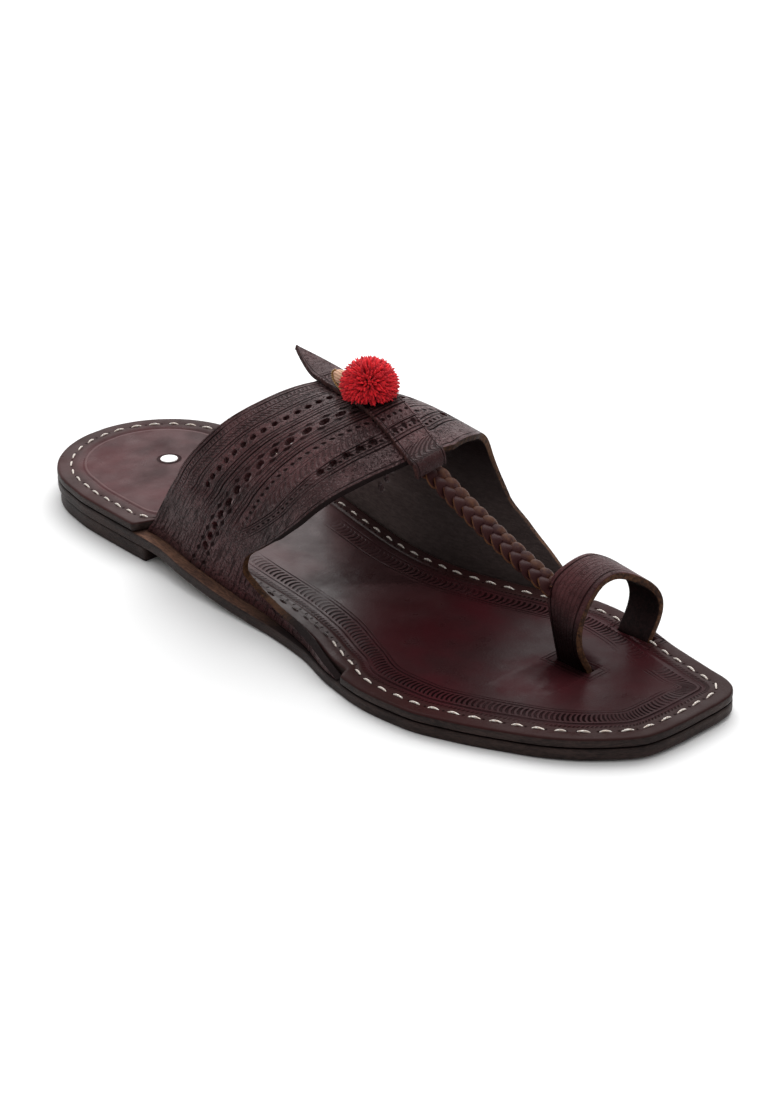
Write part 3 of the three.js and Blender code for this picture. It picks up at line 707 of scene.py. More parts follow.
def ease_cut(points, perimeter, inset, cut):
    """The cut at the edge, averaged over a longer stretch for the rings farther in."""
    steps = np.arange(-40, 41)
    spread = 0.5 * inset + 0.1
    weights = np.exp(-(steps * perimeter / len(points) / spread) ** 2)
    return sum(weight * np.roll(cut, step) for weight, step in zip(weights, steps)) / weights.sum()


def ring_at(points, perimeter, inset, cut, reach):
    """The ring a given way in; where the edge is cut back, the rings crowd together."""
    way = inward(points, perimeter, TURN_SHARE * inset)
    eased = ease_cut(points, perimeter, inset, cut)
    distance = np.maximum(cut + inset * CROWDED_STEP, eased + inset * (1 - eased / reach))
    return points + way * distance[:, None]


SOLE_START = 0.15
EDGE_POINTS = 560
points, perimeter = edge_loop(SOLE_START, SOLE_LENGTH, 0.0, EDGE_POINTS)
print(f"sole outline: {perimeter:.0f} mm round")


# %% [markdown]
# While the rings are extruded, each vertex notes in its own layers where it is
# round the edge, how far in and how high. The cuts across the length come next,
# and bmesh fills these layers in for the new vertices. So the sheet can then be
# lifted to the last, and its UV map tells every pattern the way along the edge
# and in from it.

# %% A layer of sole
def finish_mesh(bm, name, finishes, smooth=True):
    """Turns a bmesh in shoe millimetres into an object in the row's metres."""
    for vert in bm.verts:
        vert.co = Vector(row_points(vert.co))
    mesh = bpy.data.meshes.new(name)
    bm.to_mesh(mesh)
    bm.free()
    for finish in finishes:
        mesh.materials.append(finish)
    mesh.polygons.foreach_set("use_smooth", [smooth] * len(mesh.polygons))
    piece = bpy.data.objects.new(name, mesh)
    bpy.context.collection.objects.link(piece)
    return piece


def make_layer(name, loop, length, profile, bottom, cuts, finishes, cut=None):
    """A sheet with a worked rim. profile rows are (inset, height, finish index)."""
    count = len(loop)
    cut = np.zeros(count) if cut is None else cut
    reach = max(max(row[0] for row in profile), 1.0)
    bm = bmesh.new()
    order = bm.verts.layers.int.new("order")
    height = bm.verts.layers.float.new("height")
    inset = bm.verts.layers.float.new("inset")
    around = bm.verts.layers.float.new("around")
    bmesh.ops.create_circle(bm, cap_ends=True, segments=count, radius=1.0)
    bm.verts.ensure_lookup_table()
    for k, vert in enumerate(bm.verts):
        vert[order] = k
        vert[around] = k / count * length
    cap = bm.faces[:][0]
    for step, (way_in, up, finish) in enumerate(profile):
        if step:
            made = bmesh.ops.extrude_face_region(bm, geom=[cap])["geom"]
            if step > 1:
                bmesh.ops.delete(bm, geom=[cap], context="FACES_ONLY")
            cap = next(item for item in made if isinstance(item, bmesh.types.BMFace))
            for edge in cap.edges:
                for face in edge.link_faces:
                    face.material_index = finish
        ring = ring_at(loop, length, way_in, cut, reach)
        eased = ease_cut(loop, length, way_in, cut)
        for vert in cap.verts:
            vert.co = Vector((*ring[vert[order]], up))
            vert[height] = up
            vert[inset] = way_in * (1 - eased[vert[order]] / reach)
    for y in cuts:
        everything = bm.verts[:] + bm.edges[:] + bm.faces[:]
        bmesh.ops.bisect_plane(bm, geom=everything, plane_co=(0, y, 0), plane_no=(0, 1, 0))
    for vert in bm.verts:
        vert.co.z = float(bottom(vert.co.y)) + vert[height]
    uv = bm.loops.layers.uv.new("edge")
    for face in bm.faces:
        seam = max(v[around] for v in face.verts) - min(v[around] for v in face.verts) > length / 2
        for corner in face.loops:
            v = corner.vert
            wrapped = length if seam and v[around] < length / 2 else 0.0
            corner[uv].uv = ((v[around] + wrapped) * MM, v[inset] * MM)
    bmesh.ops.recalc_face_normals(bm, faces=bm.faces[:])
    return finish_mesh(bm, name, finishes)


waist_cuts = [HEEL_LENGTH + k * WAIST_LENGTH / 19 for k in range(20)]
toe_cuts = [SOLE_LENGTH - TOE_SPRING_LENGTH + k * 5 for k in range(9)]
heel_cuts = [20, 40, 60]
sole_cuts = waist_cuts + toe_cuts + heel_cuts + [170, 190, 210]
print("cuts across the sole:", len(sole_cuts))

# %% [markdown]
# The outsole is a thick sheet of hard leather, cut with a knife, rubbed round
# at its edge and blacked. Its top is bare leather and shows only on the ledge
# outside the strap. Its profile has a shallow dent halfway up, because a rubbed
# edge is never quite straight. Each row is (inset, height, finish).

# %% Outsole
OUTSOLE_PROFILE = [
    (9.0, 0.0, 2), (1.0, 0.0, 2), (0.35, 0.12, 0), (0.05, 0.5, 0), (0.0, 1.1, 0), (0.12, 1.9, 0),
    (0.0, 2.8, 0), (0.05, 3.3, 0), (0.3, 3.68, 0), (0.8, OUTSOLE_THICKNESS, 1),
    (1.4, OUTSOLE_THICKNESS, 1), (9.0, OUTSOLE_THICKNESS, 1),
]
outsole = make_layer("outsole_leather", points, perimeter, OUTSOLE_PROFILE, underside, sole_cuts,
                     [sole_edge_finish, ledge_finish, sole_face_finish])
print("outsole faces:", len(outsole.data.polygons))
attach(outsole, "root")
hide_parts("outsole")

# %% [markdown]
# The heel lift is one more block of the same leather, cut straight across in
# front. The same function makes it: its loop follows the sole's edge a little
# farther in, and its bottom is the flat floor.

# %% Heel lift
HEEL_PROFILE = [
    (6.0, 0.0, 1), (0.8, 0.0, 1), (0.25, 0.15, 0), (0.0, 0.6, 0), (0.1, 2.4, 0), (0.0, 4.3, 0),
    (0.2, 4.85, 0), (0.7, HEEL_LIFT_HEIGHT, 0), (6.0, HEEL_LIFT_HEIGHT, 0),
]
HEEL_START = 0.65
HEEL_POINTS = 200
heel_loop, heel_round = edge_loop(HEEL_START, HEEL_LENGTH, HEEL_INSET, HEEL_POINTS)
heel_lift = make_layer("heel_lift_leather", heel_loop, heel_round, HEEL_PROFILE,
                       lambda _y: 0.0, heel_cuts, [sole_edge_finish, sole_face_finish])
print(f"heel lift: {heel_round:.0f} mm round")
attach(heel_lift, "root")
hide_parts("heel_lift")

# %% [markdown]
# The insole's rim is rounded and its stitches lie in a shallow channel. A
# pressed line frames the foot's panel. All of these are rings of the profile,
# so they are real relief. Two slots for the toe loop are cut with a Boolean.

# %% Insole
PANEL_REACH = 24.0
INSOLE_PROFILE = [
    (PANEL_REACH, 0.0, 1), (1.2, 0.0, 1), (0.4, 0.1, 1), (0.08, 0.4, 1), (0.0, 0.9, 1),
    (0.0, 2.1, 1), (0.1, 2.55, 1), (0.4, 2.88, 0), (0.9, INSOLE_THICKNESS, 0), (1.6, 3.0, 0),
    (3.9, 3.0, 0), (4.4, 2.9, 0), (5.0, 2.85, 0), (5.6, 2.9, 0), (6.1, 3.0, 0),
    (8.2, 3.0, 0), (8.6, 2.78, 0), (8.95, 2.7, 0), (9.3, 2.8, 0), (9.8, 3.06, 0), (10.8, 3.02, 0),
    (16.0, 3.0, 0), (20.0, 3.0, 0), (PANEL_REACH, INSOLE_THICKNESS, 0),
]
TOE_MIDDLE = -13.5
outer = points[:, 0] > np.interp(points[:, 1], [0, SOLE_LENGTH], [heel_centre, TOE_MIDDLE])
cut_back = np.where(outer, insole_cut("lateral", points[:, 1]), insole_cut("medial", points[:, 1]))
insole = make_layer("insole_leather", points, perimeter, INSOLE_PROFILE, insole_bottom, sole_cuts,
                    [insole_finish, sole_edge_finish], cut_back)


def settle(piece):
    """Replaces a piece's mesh by what its modifiers make of it, and counts its faces."""
    graph = bpy.context.evaluated_depsgraph_get()
    piece.data = bpy.data.meshes.new_from_object(
        piece.evaluated_get(graph), preserve_all_data_layers=True, depsgraph=graph)
    piece.modifiers.clear()
    return len(piece.data.polygons)


def cut_away(piece, tool):
    """Cuts a tool's mesh out of a piece for good."""
    cutting = piece.modifiers.new("cut", "BOOLEAN")
    cutting.object = tool
    cutting.solver = "MANIFOLD"
    faces = settle(piece)
    bpy.data.objects.remove(tool)
    return faces


def make_slots():
    """Two plain blocks through the insole, where the loop's legs stand."""
    bm = bmesh.new()
    for x, y in SLOT_PLACES:
        made = bmesh.ops.create_cube(bm, size=1.0)["verts"]
        bmesh.ops.scale(bm, verts=made, vec=SLOT_SIZE)
        bmesh.ops.translate(bm, verts=made, vec=(x, y, float(insole_bottom(y)) + INSOLE_THICKNESS / 2))
    return finish_mesh(bm, "slots", [hole_shade_finish], smooth=False)


print("insole faces with its slots:", cut_away(insole, make_slots()))
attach(insole, "root")
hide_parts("insole")


# %% [markdown]
# The straps are thin walls, and each is one grid laid on the last, the form
# that a sandal is built on. So the last's surface comes first. At each length
# it has a section with a round crest, and shares of the way round that section
# say where a strap is cut, as a tape laid on the leather would.

# %% The instep last as a surface
FLARE_GAIN = 1.73
SECTION_STEPS = 60
FOOT_CROWDING = 1.2
last_column = {name: column(INSTEP, "along", name) for name in INSTEP if name != "along"}
cut_column = {
    side: {edge: column(STRAP_CUT[side], "girth", edge) for edge in ("rear", "front")}
    for side in SIGN
}


def section_point(side, y, turn):
    """A point of the last's cross-section at a length, from the foot, 0, to the crest, 1."""
    along = y / SOLE_LENGTH
    ridge = BALL_WIDTH * last_column["ridge"](along)
    crest = INSTEP_HEIGHT * last_column["crest"](along)
    flare = BALL_WIDTH * last_column[side](along)
    angle = turn * math.pi / 2
    reach = np.abs(np.cos(angle)) ** (2 / ROUNDNESS[side])
    rise = np.abs(np.sin(angle)) ** (2 / ROUNDNESS[side])
    bulge = FLARE_GAIN * flare * (1 - turn) * np.sin(math.pi * turn)
    foot = sole_edge(side, y) - SIGN[side] * ledge(side, y)
    x = ridge + (foot - ridge) * reach + SIGN[side] * bulge
    z = insole_bottom(y) + crest * rise
    return np.stack(np.broadcast_arrays(x, y, z), axis=-1)


def girth_points(side, y, girth):
    """Points at shares of the girth, from the crest, 0, down to the sole, 1."""
    turn = 1 - np.linspace(0, 1, SECTION_STEPS + 1) ** FOOT_CROWDING
    path = section_point(side, y[:, None], turn[None, :])
    run = np.cumsum(np.linalg.norm(np.diff(path, axis=1), axis=2), axis=1)
    length = np.concatenate([np.zeros((len(y), 1)), run], axis=1)
    goal = girth * length[:, -1]
    k = np.clip((length[:, 1:] < goal[:, None]).sum(axis=1), 0, SECTION_STEPS - 1)
    rows = np.arange(len(y))
    share = (goal - length[rows, k]) / (length[rows, k + 1] - length[rows, k])
    return path[rows, k] + (path[rows, k + 1] - path[rows, k]) * share[:, None]


def strap_points(turn, sweep):
    """Outer face of the instep strap: turn -1 medial foot to 1 lateral foot, sweep rear to front."""
    turn, sweep = np.broadcast_arrays(np.asarray(turn, float), np.asarray(sweep, float))
    result = np.zeros((len(turn), 3))
    for side in SIGN:
        here = (turn < 0) == (side == "medial")
        if here.any():
            girth = np.abs(turn[here])
            rear = SOLE_LENGTH * cut_column[side]["rear"](girth)
            front = SOLE_LENGTH * cut_column[side]["front"](girth)
            result[here] = girth_points(side, rear + (front - rear) * sweep[here], girth)
    return result


NORMAL_STEP = 0.01
NORMAL_LIMIT = 0.985


def strap_normals(turn, sweep):
    """Outward directions, from the slopes of the surface a small step to each side."""
    turn = np.clip(turn, -NORMAL_LIMIT, NORMAL_LIMIT)
    side = strap_points(turn + NORMAL_STEP, sweep) - strap_points(turn - NORMAL_STEP, sweep)
    front = strap_points(turn, np.minimum(sweep + NORMAL_STEP, 1))
    rear = strap_points(turn, np.maximum(sweep - NORMAL_STEP, 0))
    return unit(np.cross(side, front - rear))


print("crest of the strap at its middle:", strap_points([0.0], [0.5]).round(1)[0])


# %% [markdown]
# One helper lays a flat bmesh grid on any surface that is given as a function
# of two shares, u and v, and writes the piece's UV maps on the way. Where the
# grid closes on itself, as round a thread, its seam is merged and its two ends
# are filled. A sheet gets its wall from a Solidify modifier, which keeps it even
# round every curve, and a Bevel modifier softens its cut edges.

# %% A grid laid on a surface
def lay_grid(name, across, along, place, uv_maps, finishes, closed=False):
    """A bmesh grid moved onto place(u, v), both arrays of 0 to 1, with named UV maps."""
    bm = bmesh.new()
    bmesh.ops.create_grid(bm, x_segments=across, y_segments=along, size=0.5)
    flat = np.array([vert.co[:2] for vert in bm.verts]) + 0.5
    for key, rule in uv_maps.items():
        pairs = rule(flat[:, 0], flat[:, 1])
        uv = bm.loops.layers.uv.new(key)
        for face in bm.faces:
            for corner in face.loops:
                corner[uv].uv = pairs[corner.vert.index]
    for vert, spot in zip(bm.verts, place(flat[:, 0], flat[:, 1])):
        vert.co = Vector(spot)
    if closed:
        bmesh.ops.remove_doubles(bm, verts=bm.verts[:], dist=1e-4)
        rim = [edge for edge in bm.edges if edge.is_boundary]
        bmesh.ops.holes_fill(bm, edges=rim, sides=0)
        bmesh.ops.recalc_face_normals(bm, faces=bm.faces[:])
    return finish_mesh(bm, name, finishes)


def tube_map(length):
    """The UV map of a tube: metres along it, and once round it."""
    return {"strip": lambda u, v: np.column_stack([v * length, u])}


def give_wall(piece, wall, bevel=0.45, centred=False):
    """Real thickness, rounded cut edges; the rim is the second finish, the inside the third."""
    solid = piece.modifiers.new("wall", "SOLIDIFY")
    solid.thickness = wall * MM
    solid.offset = 0 if centred else -1
    solid.use_even_offset = True
    solid.use_quality_normals = True
    solid.material_offset = 2
    solid.material_offset_rim = 1
    rim = piece.modifiers.new("rim", "BEVEL")
    rim.width = bevel * MM
    rim.segments = 2
    rim.limit_method = "ANGLE"
    rim.angle_limit = math.radians(50)
    rim.harden_normals = False


# %% [markdown]
# The instep strap has bent with the foot, so it isn't quite smooth. A few soft
# creases are listed, and a slow wave lies over all of it. Both push the
# surface along its own normal, before the wall is made, so that the wall keeps
# its thickness.

# %% Creases of the instep strap
WAVE_DEPTH = 0.14

# Where they are, how far they reach round and along, and how deep, in millimetres
CREASES = [
    {"turn": 0.62, "sweep": 0.3, "reach": 0.03, "run": 0.5, "depth": -0.5},
    {"turn": 0.7, "sweep": 0.7, "reach": 0.025, "run": 0.35, "depth": 0.35},
    {"turn": 0.36, "sweep": 0.85, "reach": 0.05, "run": 0.25, "depth": -0.3},
    {"turn": -0.5, "sweep": 0.4, "reach": 0.04, "run": 0.5, "depth": -0.4},
    {"turn": -0.75, "sweep": 0.6, "reach": 0.04, "run": 0.4, "depth": 0.35},
    {"turn": 0.13, "sweep": 0.93, "reach": 0.05, "run": 0.1, "depth": 0.4},
]


def crease_depth(turn, sweep):
    """How far the surface is pushed out, from all creases and the wave."""
    total = np.zeros_like(turn)
    for crease in CREASES:
        side = (turn - crease["turn"] + 0.08 * (sweep - crease["sweep"])) / crease["reach"]
        run = (sweep - crease["sweep"]) / crease["run"]
        total += crease["depth"] * np.exp(-side ** 2 - run ** 2)
    return total + WAVE_DEPTH * np.sin(turn * 17 + sweep * 5) * np.sin(sweep * 9 - turn * 4)


# %% [markdown]
# The grid's columns are closer together near the feet, where the strap bends
# most. Its UV maps are true lengths: round from the crest, and in from the rear
# or the front edge. A third one counts the leaf holes, so that the pressed
# rings fall exactly on the holes that are punched later.

# %% Instep strap
STRAP_ACROSS = 250
STRAP_ALONG = 64
LEAF_ROW = {
    "edge": "rear", "inset": LEAF_INSET, "start": -0.8, "end": 0.86, "count": 29, "size": 2.7,
    "stretch": 1.35,
}
FIRST_LEAF = 10


def strap_turn(share):
    """The grid's share across, 0 to 1, as a place round the strap, -1 to 1."""
    way = 2 * share - 1
    return np.sign(way) * (0.5 * np.abs(way) + 0.5 * np.sin(np.abs(way) * math.pi / 2))


def strap_place(u, v):
    """The strap's outer face with its creases."""
    turn = strap_turn(u)
    spots = strap_points(turn, v)
    return spots + strap_normals(turn, v) * crease_depth(turn, v)[:, None]


def strap_girth(u):
    """Length on the leather from the crest, in metres."""
    turn = np.linspace(-1, 1, 401)
    length = lengths_along(strap_points(turn, np.full_like(turn, 0.4)))
    length -= np.interp(0, turn, length)
    return np.interp(strap_turn(u), turn, length) * MM


def strap_width(u):
    """Rear to front width of the strap at each place round it, in metres."""
    turn = strap_turn(u)
    girth = np.abs(turn)
    widths = {side: cut_column[side]["front"](girth) - cut_column[side]["rear"](girth) for side in SIGN}
    return SOLE_LENGTH * np.where(turn < 0, widths["medial"], widths["lateral"]) * MM


def leaf_number(u):
    """Which leaf hole a place is beside, counted along their row."""
    share = (strap_turn(u) - LEAF_ROW["start"]) / (LEAF_ROW["end"] - LEAF_ROW["start"])
    return share * (LEAF_ROW["count"] - 1) + FIRST_LEAF


strap_maps = {
    "rear": lambda u, v: np.column_stack([strap_girth(u), v * strap_width(u)]),
    "front": lambda u, v: np.column_stack([strap_girth(u), (1 - v) * strap_width(u)]),
    "leaf row": lambda u, v: np.column_stack([leaf_number(u), v]),
}
strap = lay_grid("instep_strap", STRAP_ACROSS, STRAP_ALONG, strap_place, strap_maps,
                 [strap_finish, edge_finish, flesh_finish])
give_wall(strap, STRAP_WALL)
print("strap faces before punching:", settle(strap))

# %% [markdown]
# The holes are punched right through, as with a leather punch: one joined mesh
# of small prisms, turned to the surface, is cut away with a Boolean modifier.

# %% Punched rows
ROUND_INSET = 16.0
FRONT_INSET = 12.5
ROUND_STRETCH = 1.1
PUNCH_INSIDE = 0.92
PUNCH_OUTSIDE = 1.06
TURN_STEP = 0.02


def round_row(edge, inset, start, end, count, size):
    """A row of nearly round holes, start and end being places round the strap."""
    return {"edge": edge, "inset": inset, "start": start, "end": end, "count": count, "size": size,
            "stretch": ROUND_STRETCH}


PUNCHED_ROWS = [
    round_row("rear", ROUND_INSET, -0.6, 0.6, 31, 2.1),
    LEAF_ROW,
    round_row("front", FRONT_INSET, 0.2, 0.39, 5, 2.6),
    round_row("front", FRONT_INSET, -0.33, -0.14, 5, 2.6),
]


def punch_places():
    """Centre, way round and outward direction of every hole, with its row."""
    for row in PUNCHED_ROWS:
        turn = np.linspace(row["start"], row["end"], row["count"])
        cuts = [cut_column["medial" if t < 0 else "lateral"] for t in turn]
        width = np.array([cut["front"](abs(t)) - cut["rear"](abs(t)) for t, cut in zip(turn, cuts)])
        share = row["inset"] / (SOLE_LENGTH * width)
        sweep = share if row["edge"] == "rear" else 1 - share
        centre = strap_points(turn, sweep)
        normal = strap_normals(turn, sweep)
        way = unit(strap_points(turn + TURN_STEP, sweep) - strap_points(turn - TURN_STEP, sweep))
        for place in zip(centre, way, normal):
            yield (row, *place)


def make_punches():
    """All punches as one mesh: short prisms, a little wider outside, pulled along their row."""
    bm = bmesh.new()
    for row, centre, way, normal in punch_places():
        fore = np.cross(normal, way)
        basis = Matrix([list(column) for column in zip(way, fore, normal)]).to_4x4()
        basis.translation = Vector(centre - normal * STRAP_WALL / 2)
        stretch = Matrix.Diagonal((row["stretch"], 1, 1, 1))
        radius = row["size"] / 2
        bmesh.ops.create_cone(bm, cap_ends=True, segments=12, radius1=radius * PUNCH_INSIDE,
                              radius2=radius * PUNCH_OUTSIDE, depth=4 * STRAP_WALL,
                              matrix=basis @ stretch)
    return finish_mesh(bm, "punches", [hole_shade_finish], smooth=False)


print("strap faces after punching:", cut_away(strap, make_punches()))
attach(strap, "root")
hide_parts("upper")

# %% [markdown]
# The toe loop is a short arch of strap that holds the big toe. It leans back a
# little and is wider in front than behind. Its legs go down into the insole's
# slots, so the arch is worked out above the insole and a straight leg is added
# below each foot. Where the braid joins, its rear edge runs out in a shoulder.

# %% Shape of the toe loop
LOOP_ALONG = 0.822
LOOP_ACROSS = -0.252
LOOP_WIDTH = 12.5
LOOP_SHOULDER = 4.0
LOOP_WALL = 2.4
LOOP_SPAN = 27.4
LOOP_HEIGHT = 27.0
LOOP_LEAN = 5.0
LOOP_DIP = 2.4
LOOP_FLARE = 0.26
LOOP_BULGE = {"medial": 0.58, "lateral": 0.06}
LOOP_ROUNDNESS = 2.3
SHOULDER_REACH = 0.13
BRAID_END = 0.74
LEG_DEPTH = 3.0
LEG_SHARE = 0.06
LOOP_LENGTH = 80.0
loop_base = float(insole_bottom(SOLE_LENGTH * LOOP_ALONG))


def loop_points(turn, sweep):
    """The arch: turn 0 at the inner foot to 1 at the outer one, sweep rear to front."""
    angle = math.pi * (1 - turn)
    power = 2 / LOOP_ROUNDNESS
    reach = np.sign(np.cos(angle)) * np.abs(np.cos(angle)) ** power
    rise = np.abs(np.sin(angle)) ** power
    flare = np.where(reach > 0, LOOP_BULGE["lateral"] + LOOP_FLARE * sweep, LOOP_BULGE["medial"])
    bulge = 1 + flare * np.sin(math.pi * rise)
    leg = INSOLE_THICKNESS + SEAM_GAP
    height = leg + (LOOP_HEIGHT - LOOP_DIP * sweep) * rise
    x = BALL_WIDTH * LOOP_ACROSS + LOOP_SPAN / 2 * reach * bulge
    lean = LOOP_LEAN * (height / (leg + LOOP_HEIGHT)) ** 1.3
    shoulder = LOOP_SHOULDER * (1 - sweep) * np.exp(-((turn - BRAID_END) / SHOULDER_REACH) ** 2)
    y = SOLE_LENGTH * LOOP_ALONG + (sweep - 0.5) * LOOP_WIDTH - shoulder - lean + LOOP_LEAN / 2
    return np.column_stack([x, y, loop_base + height])


def loop_place(u, v):
    """The arch with a straight leg below each foot."""
    turn = np.clip((u - LEG_SHARE) / (1 - 2 * LEG_SHARE), 0, 1)
    spots = loop_points(turn, v)
    below = np.maximum(LEG_SHARE - np.minimum(u, 1 - u), 0) / LEG_SHARE
    spots[:, 2] -= below * LEG_DEPTH
    return spots


# %% [markdown]
# Fine lines run along the loop, pressed before it was bent. Its two outer lines
# are the deepest, and its feet are blacker. The cut edges show brown and the
# lining is nearly black.

# %% Toe loop
LOOP_LINES = [
    (1.5, 0.35, 0.9), (2.9, 0.25, 0.4), (4.2, 0.25, 0.3), (5.4, 0.25, 0.35), (7.0, 0.25, 0.3),
    (8.2, 0.25, 0.4), (9.4, 0.25, 0.3), (10.8, 0.35, 0.8),
]
FOOT_BLACK = colour(0.008, 0.0028, 0.003)


def loop_marks(tree):
    """Lines along the loop, with wrinkles between them."""
    lines = groove_lines(tree, uv_parts(tree, "strip")[1], LOOP_LINES)
    return strongest(tree, lines, times(tree, fine_wrinkles(tree, 0.5), 0.4))


def loop_feet_darker(tree, coords, base):
    """Blacker toward the feet of the arch."""
    return blend(tree, within(tree, place_parts(tree, coords)[2], 30.0, 16.0), base, FOOT_BLACK)


loop_finish = dyed_leather("lined loop leather", STRAP_DYES, loop_marks, loop_feet_darker,
                           depth=0.32, roughness=0.4, shine=0.085)
loop_maps = {"strip": lambda u, v: np.column_stack([u * LOOP_LENGTH * MM, v * LOOP_WIDTH * MM])}
toe_loop = lay_grid("toe_loop", 96, 14, loop_place, loop_maps,
                    [loop_finish, rim_finish, lining_finish])
give_wall(toe_loop, LOOP_WALL, 0.5, centred=True)
print("toe loop faces:", settle(toe_loop))
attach(toe_loop, "root")
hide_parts("upper")

# %% [markdown]
# The braid is three flat strips of the same leather. In a flat plait each strip
# swings from side to side once a turn and goes over and under twice, which is
# a sine across and a sine of twice the angle up and down. All of it follows a
# curve that sags a little between the strap's front edge and the toe loop.

# %% Path of the braid
BRAID_ROOT = {"turn": 0.11, "sweep": 0.97}
BRAID_SAG = 3.0
BRAID_PITCH = 4.1
STRIP_WIDTH = 4.3
STRIP_THICKNESS = 1.5
STRIP_FLATNESS = 0.8
SWING = 2.35
WEAVE = 0.95
PATH_STEP = 1e-3


root_turn = np.array([BRAID_ROOT["turn"]])
root_sweep = np.array([BRAID_ROOT["sweep"]])
root_normal = strap_normals(root_turn, root_sweep)
braid_start = (strap_points(root_turn, root_sweep) - root_normal * STRAP_WALL * 1.5)[0]
braid_end = loop_points(np.array([BRAID_END]), np.array([0.1]))[0]
braid_sag = (braid_start + braid_end) / 2 - [0, 0, BRAID_SAG]


def braid_frame(t):
    """Centre, direction, way across and up along the hanging braid."""
    t = t[:, None]
    centre = (1 - t) ** 2 * braid_start + 2 * t * (1 - t) * braid_sag + t ** 2 * braid_end
    along = unit(2 * (1 - t) * (braid_sag - braid_start) + 2 * t * (braid_end - braid_sag))
    across = unit(np.array([1.0, 0, 0]) - along * along[:, :1])
    return centre, along, across, np.cross(across, along)


braid_length = lengths_along(braid_frame(np.linspace(0, 1, 200))[0])[-1]
braid_turns = braid_length / (3 * BRAID_PITCH)
print(f"braid: {braid_length:.1f} mm long, {braid_turns:.1f} turns")


def strip_path(t, phase):
    """The middle line of one strip."""
    centre, _, across, up = braid_frame(t)
    angle = (2 * math.pi * braid_turns * t + phase)[:, None]
    return centre + across * SWING * np.sin(angle) + up * WEAVE * np.sin(2 * angle)


def braid_strip(phase):
    """A strip's surface, u once round its flat section and v along its path."""
    def place(u, v):
        run = unit(strip_path(v + PATH_STEP, phase) - strip_path(v - PATH_STEP, phase))
        wide = unit(np.cross(run, braid_frame(v)[3]))
        thick = np.cross(wide, run)
        angle = 2 * math.pi * u
        flat = np.sign(np.cos(angle)) * np.abs(np.cos(angle)) ** STRIP_FLATNESS
        return (strip_path(v, phase) + wide * (STRIP_WIDTH / 2 * flat)[:, None]
                + thick * (STRIP_THICKNESS / 2 * np.sin(angle))[:, None])
    return place


# %% [markdown]
# Each strip is dyed on its face, and its two cut edges stay brown. Its UV map
# tells how far round the section a spot is, so the brown can sit at both edges.
# A brown painted highlight lies on the braid's side that faces the other foot.

# %% Braid
BRAID_DYE = colour(0.038, 0.0130, 0.0125)
# brown of the strips' cut edges, and of the painted highlight on the braid's inner side
BRAID_EDGE_AND_HIGHLIGHT_BROWN = colour(0.120, 0.050, 0.022)
HALF_ROUND = 500.0


def braid_leather():
    """Dyed faces, bare brown at the strip's two cut edges, and a brown painted highlight on the inner
    side.
    """
    material, tree, shader = new_finish("braid leather", specular_ior_level=0.07, roughness=0.45)
    coords = object_coords(tree)
    side = calc(tree, "PINGPONG", uv_parts(tree, "strip")[0], HALF_ROUND)
    near_edge = calc(tree, "MINIMUM", side, minus(tree, HALF_ROUND, side))
    x, y, _ = place_parts(tree, coords)
    slope = float((braid_end - braid_start)[0] / (braid_end - braid_start)[1])
    ahead = minus(tree, y, float(braid_start[1]))
    middle = calc(tree, "MULTIPLY_ADD", ahead, slope, float(braid_start[0]))
    # painted highlight: the braid's inner side is browned
    inner = within(tree, minus(tree, x, middle), 0.6, -1.6)
    bare = strongest(tree, within(tree, near_edge, 100.0, 50.0), times(tree, inner, 0.55))
    bare = times(tree, bare, within(tree, cloud(tree, coords, 300.0, 3.0, 0.6), 0.34, 0.62))
    base = blend(tree, within(tree, cloud(tree, coords, 90.0), 0.35, 0.65), DARK_DYE, BRAID_DYE)
    tree.links.new(blend(tree, bare, base, BRAID_EDGE_AND_HIGHLIGHT_BROWN), shader.inputs["Base Color"])
    add_bump(tree, shader, leather_grain(tree, coords), 0.08)
    return material


braid_finish = braid_leather()
for number in range(3):
    strand = lay_grid(f"braid_strip_{number + 1}", 14, 150, braid_strip(number * 2 * math.pi / 3),
                      {"strip": lambda u, v: np.column_stack([u, v])}, [braid_finish], closed=True)
    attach(strand, "root")
    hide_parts("upper")

# %% [markdown]
# The centre strip lies on the crest: a pointed ear behind, stiff enough to
# stand up, and a small tab in front that is rolled over the braid's root. It
# touches the strap all along, so its middle part asks the last for its height,
# and the ear and the tab go on from there with a curve of their own.

# %% Shape of the centre strip
OVERLAY_WALL = 1.6
OVERLAY_WIDTH = 15.0
OVERLAY_END_WIDTH = 12.0
EAR_LENGTH = 17.0
EAR_RISE = 4.0
TAB_DROP = 3.0
EAR_SHARE = 0.3
TAB_SHARE = 0.86
STRIP_REAR = -0.19
STRIP_FRONT = -0.02
STRIP_LENGTH = 80.0
EAR_TIP = 0.04
ROLL_SHARE = 0.45
HALVINGS = 24
crest_rear = SOLE_LENGTH * STRAP_CUT["medial"]["rear"][0]
crest_front = SOLE_LENGTH * STRAP_CUT["medial"]["front"][0]


def strip_centre(y):
    """The strip's middle line, which runs a little across the foot."""
    t = (y - crest_rear) / (crest_front - crest_rear)
    return BALL_WIDTH * (STRIP_REAR + (STRIP_FRONT - STRIP_REAR) * t)


